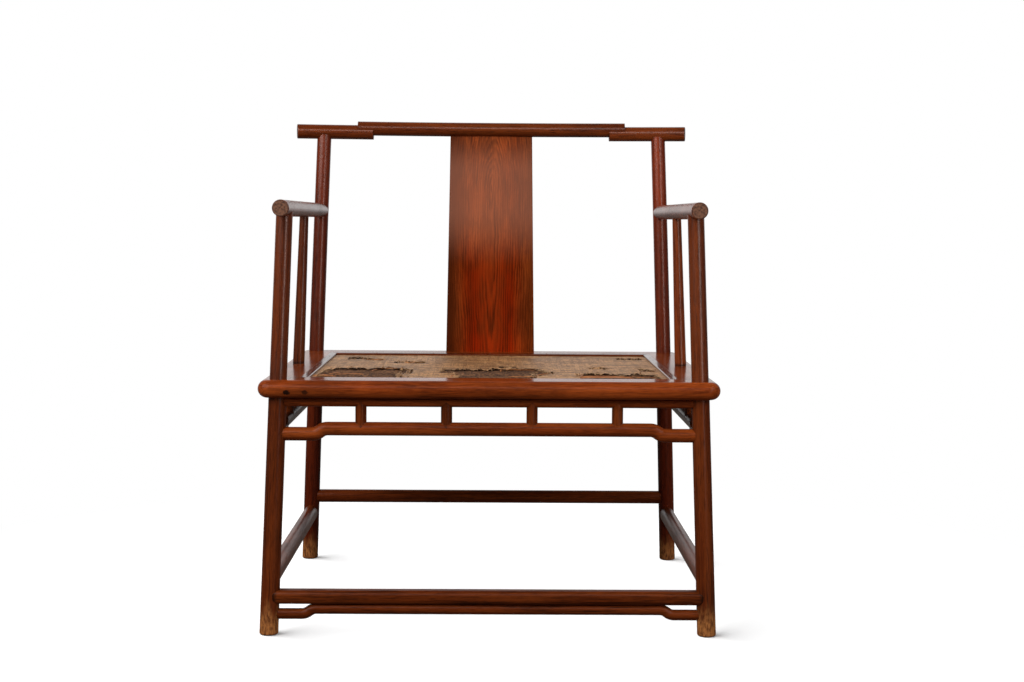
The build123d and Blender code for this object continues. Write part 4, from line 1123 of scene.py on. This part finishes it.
class ARMCHAIR_OT_splat(bpy.types.Operator):
    """Gives the back splat its flame figure"""

    bl_idname = "armchair.splat"
    bl_label = "Finish the splat"

    def execute(self, context):
        heart, along = (0.002, 0.335, 0.79), (0, 0.09, 1)
        dress("back_splat", splat_material("figured_hardwood_splat", heart, along))
        return {"FINISHED"}


class ARMCHAIR_OT_cane_mat(bpy.types.Operator):
    """Weaves the mat, with its tears, and lays the broken splints round them"""

    bl_idname = "armchair.cane_mat"
    bl_label = "Weave the mat"

    def execute(self, context):
        look = context.scene.armchair_mat
        fibre = context.scene.armchair_fibre
        points, faces, share = build_mat(look)
        mat = new_piece("woven_cane_mat", points, faces, cane_material(), "cane")
        for face in mat.data.polygons:
            face.use_smooth = abs(face.normal.z) > 0.5
        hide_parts("cane_mat")
        straw = fibre_material("orange_splints", fibre.straw_dark, fibre.straw_light, 0.45, scale=60.0)
        pale = fibre_material("frayed_splints", fibre.frayed_dark, fibre.frayed_light, 0.55, scale=60.0)
        ends = new_piece("frayed_cane_ends", *frayed_ends(seed=17, spacing=5.5), pale, "cane", smooth=False)
        splints = new_piece("loose_cane_splints", *loose_splints(seed=23), straw, "cane", smooth=False)
        return {"FINISHED"}


class ARMCHAIR_OT_palm_webbing(bpy.types.Operator):
    """Laces the palm-fibre cords below the mat"""

    bl_idname = "armchair.palm_webbing"
    bl_label = "Lace the webbing"

    def execute(self, context):
        look = context.scene.armchair_fibre
        dark, light = look.palm_dark, look.palm_light
        palm = fibre_material("palm_fibre_cord", dark, light, 0.75, scale=110.0, spots=0.7)
        net = new_piece("palm_cord_webbing", *palm_net(look), palm, "palm_fibre")
        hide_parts("palm_fibre_webbing")
        return {"FINISHED"}


class ARMCHAIR_OT_pegs(bpy.types.Operator):
    """Gives the edge strips' pegs a dull bamboo finish"""

    bl_idname = "armchair.pegs"
    bl_label = "Finish the pegs"

    def execute(self, context):
        dark, light = (0.12, 0.045, 0.016), (0.26, 0.12, 0.05)
        bamboo = fibre_material("bamboo_pegs", dark, light, 0.5, scale=300.0)
        dress("edge_strip_pegs", bamboo)
        return {"FINISHED"}


class ARMCHAIR_PT_panel(bpy.types.Panel):
    """Lists the steps that finish the armchair"""

    bl_label = "Armchair"
    bl_idname = "ARMCHAIR_PT_panel"
    bl_space_type = "VIEW_3D"
    bl_region_type = "UI"
    bl_category = "Armchair"

    def draw(self, context):
        for operator in OPERATORS:
            self.layout.operator(operator.bl_idname)


OPERATORS = (
    ARMCHAIR_OT_stage,
    ARMCHAIR_OT_timbers,
    ARMCHAIR_OT_splat,
    ARMCHAIR_OT_cane_mat,
    ARMCHAIR_OT_palm_webbing,
    ARMCHAIR_OT_pegs,
)
SETTINGS = {
    "armchair_stage": ArmchairStageSettings,
    "armchair_timber": ArmchairTimberSettings,
    "armchair_splat": ArmchairSplatSettings,
    "armchair_mat": ArmchairMatSettings,
    "armchair_fibre": ArmchairFibreSettings,
}


def register():
    for group in SETTINGS.values():
        bpy.utils.register_class(group)
    for name, group in SETTINGS.items():
        setattr(bpy.types.Scene, name, bpy.props.PointerProperty(type=group))
    for operator in OPERATORS:
        bpy.utils.register_class(operator)
    bpy.utils.register_class(ARMCHAIR_PT_panel)


def unregister():
    bpy.utils.unregister_class(ARMCHAIR_PT_panel)
    for operator in reversed(OPERATORS):
        bpy.utils.unregister_class(operator)
    for name, group in SETTINGS.items():
        delattr(bpy.types.Scene, name)
        bpy.utils.unregister_class(group)


def main():
    register()
    bpy.ops.armchair.stage()
    bpy.ops.armchair.timbers()
    bpy.ops.armchair.splat()
    bpy.ops.armchair.cane_mat()
    bpy.ops.armchair.palm_webbing()
    bpy.ops.armchair.pegs()


if __name__ == "__main__":
    main()
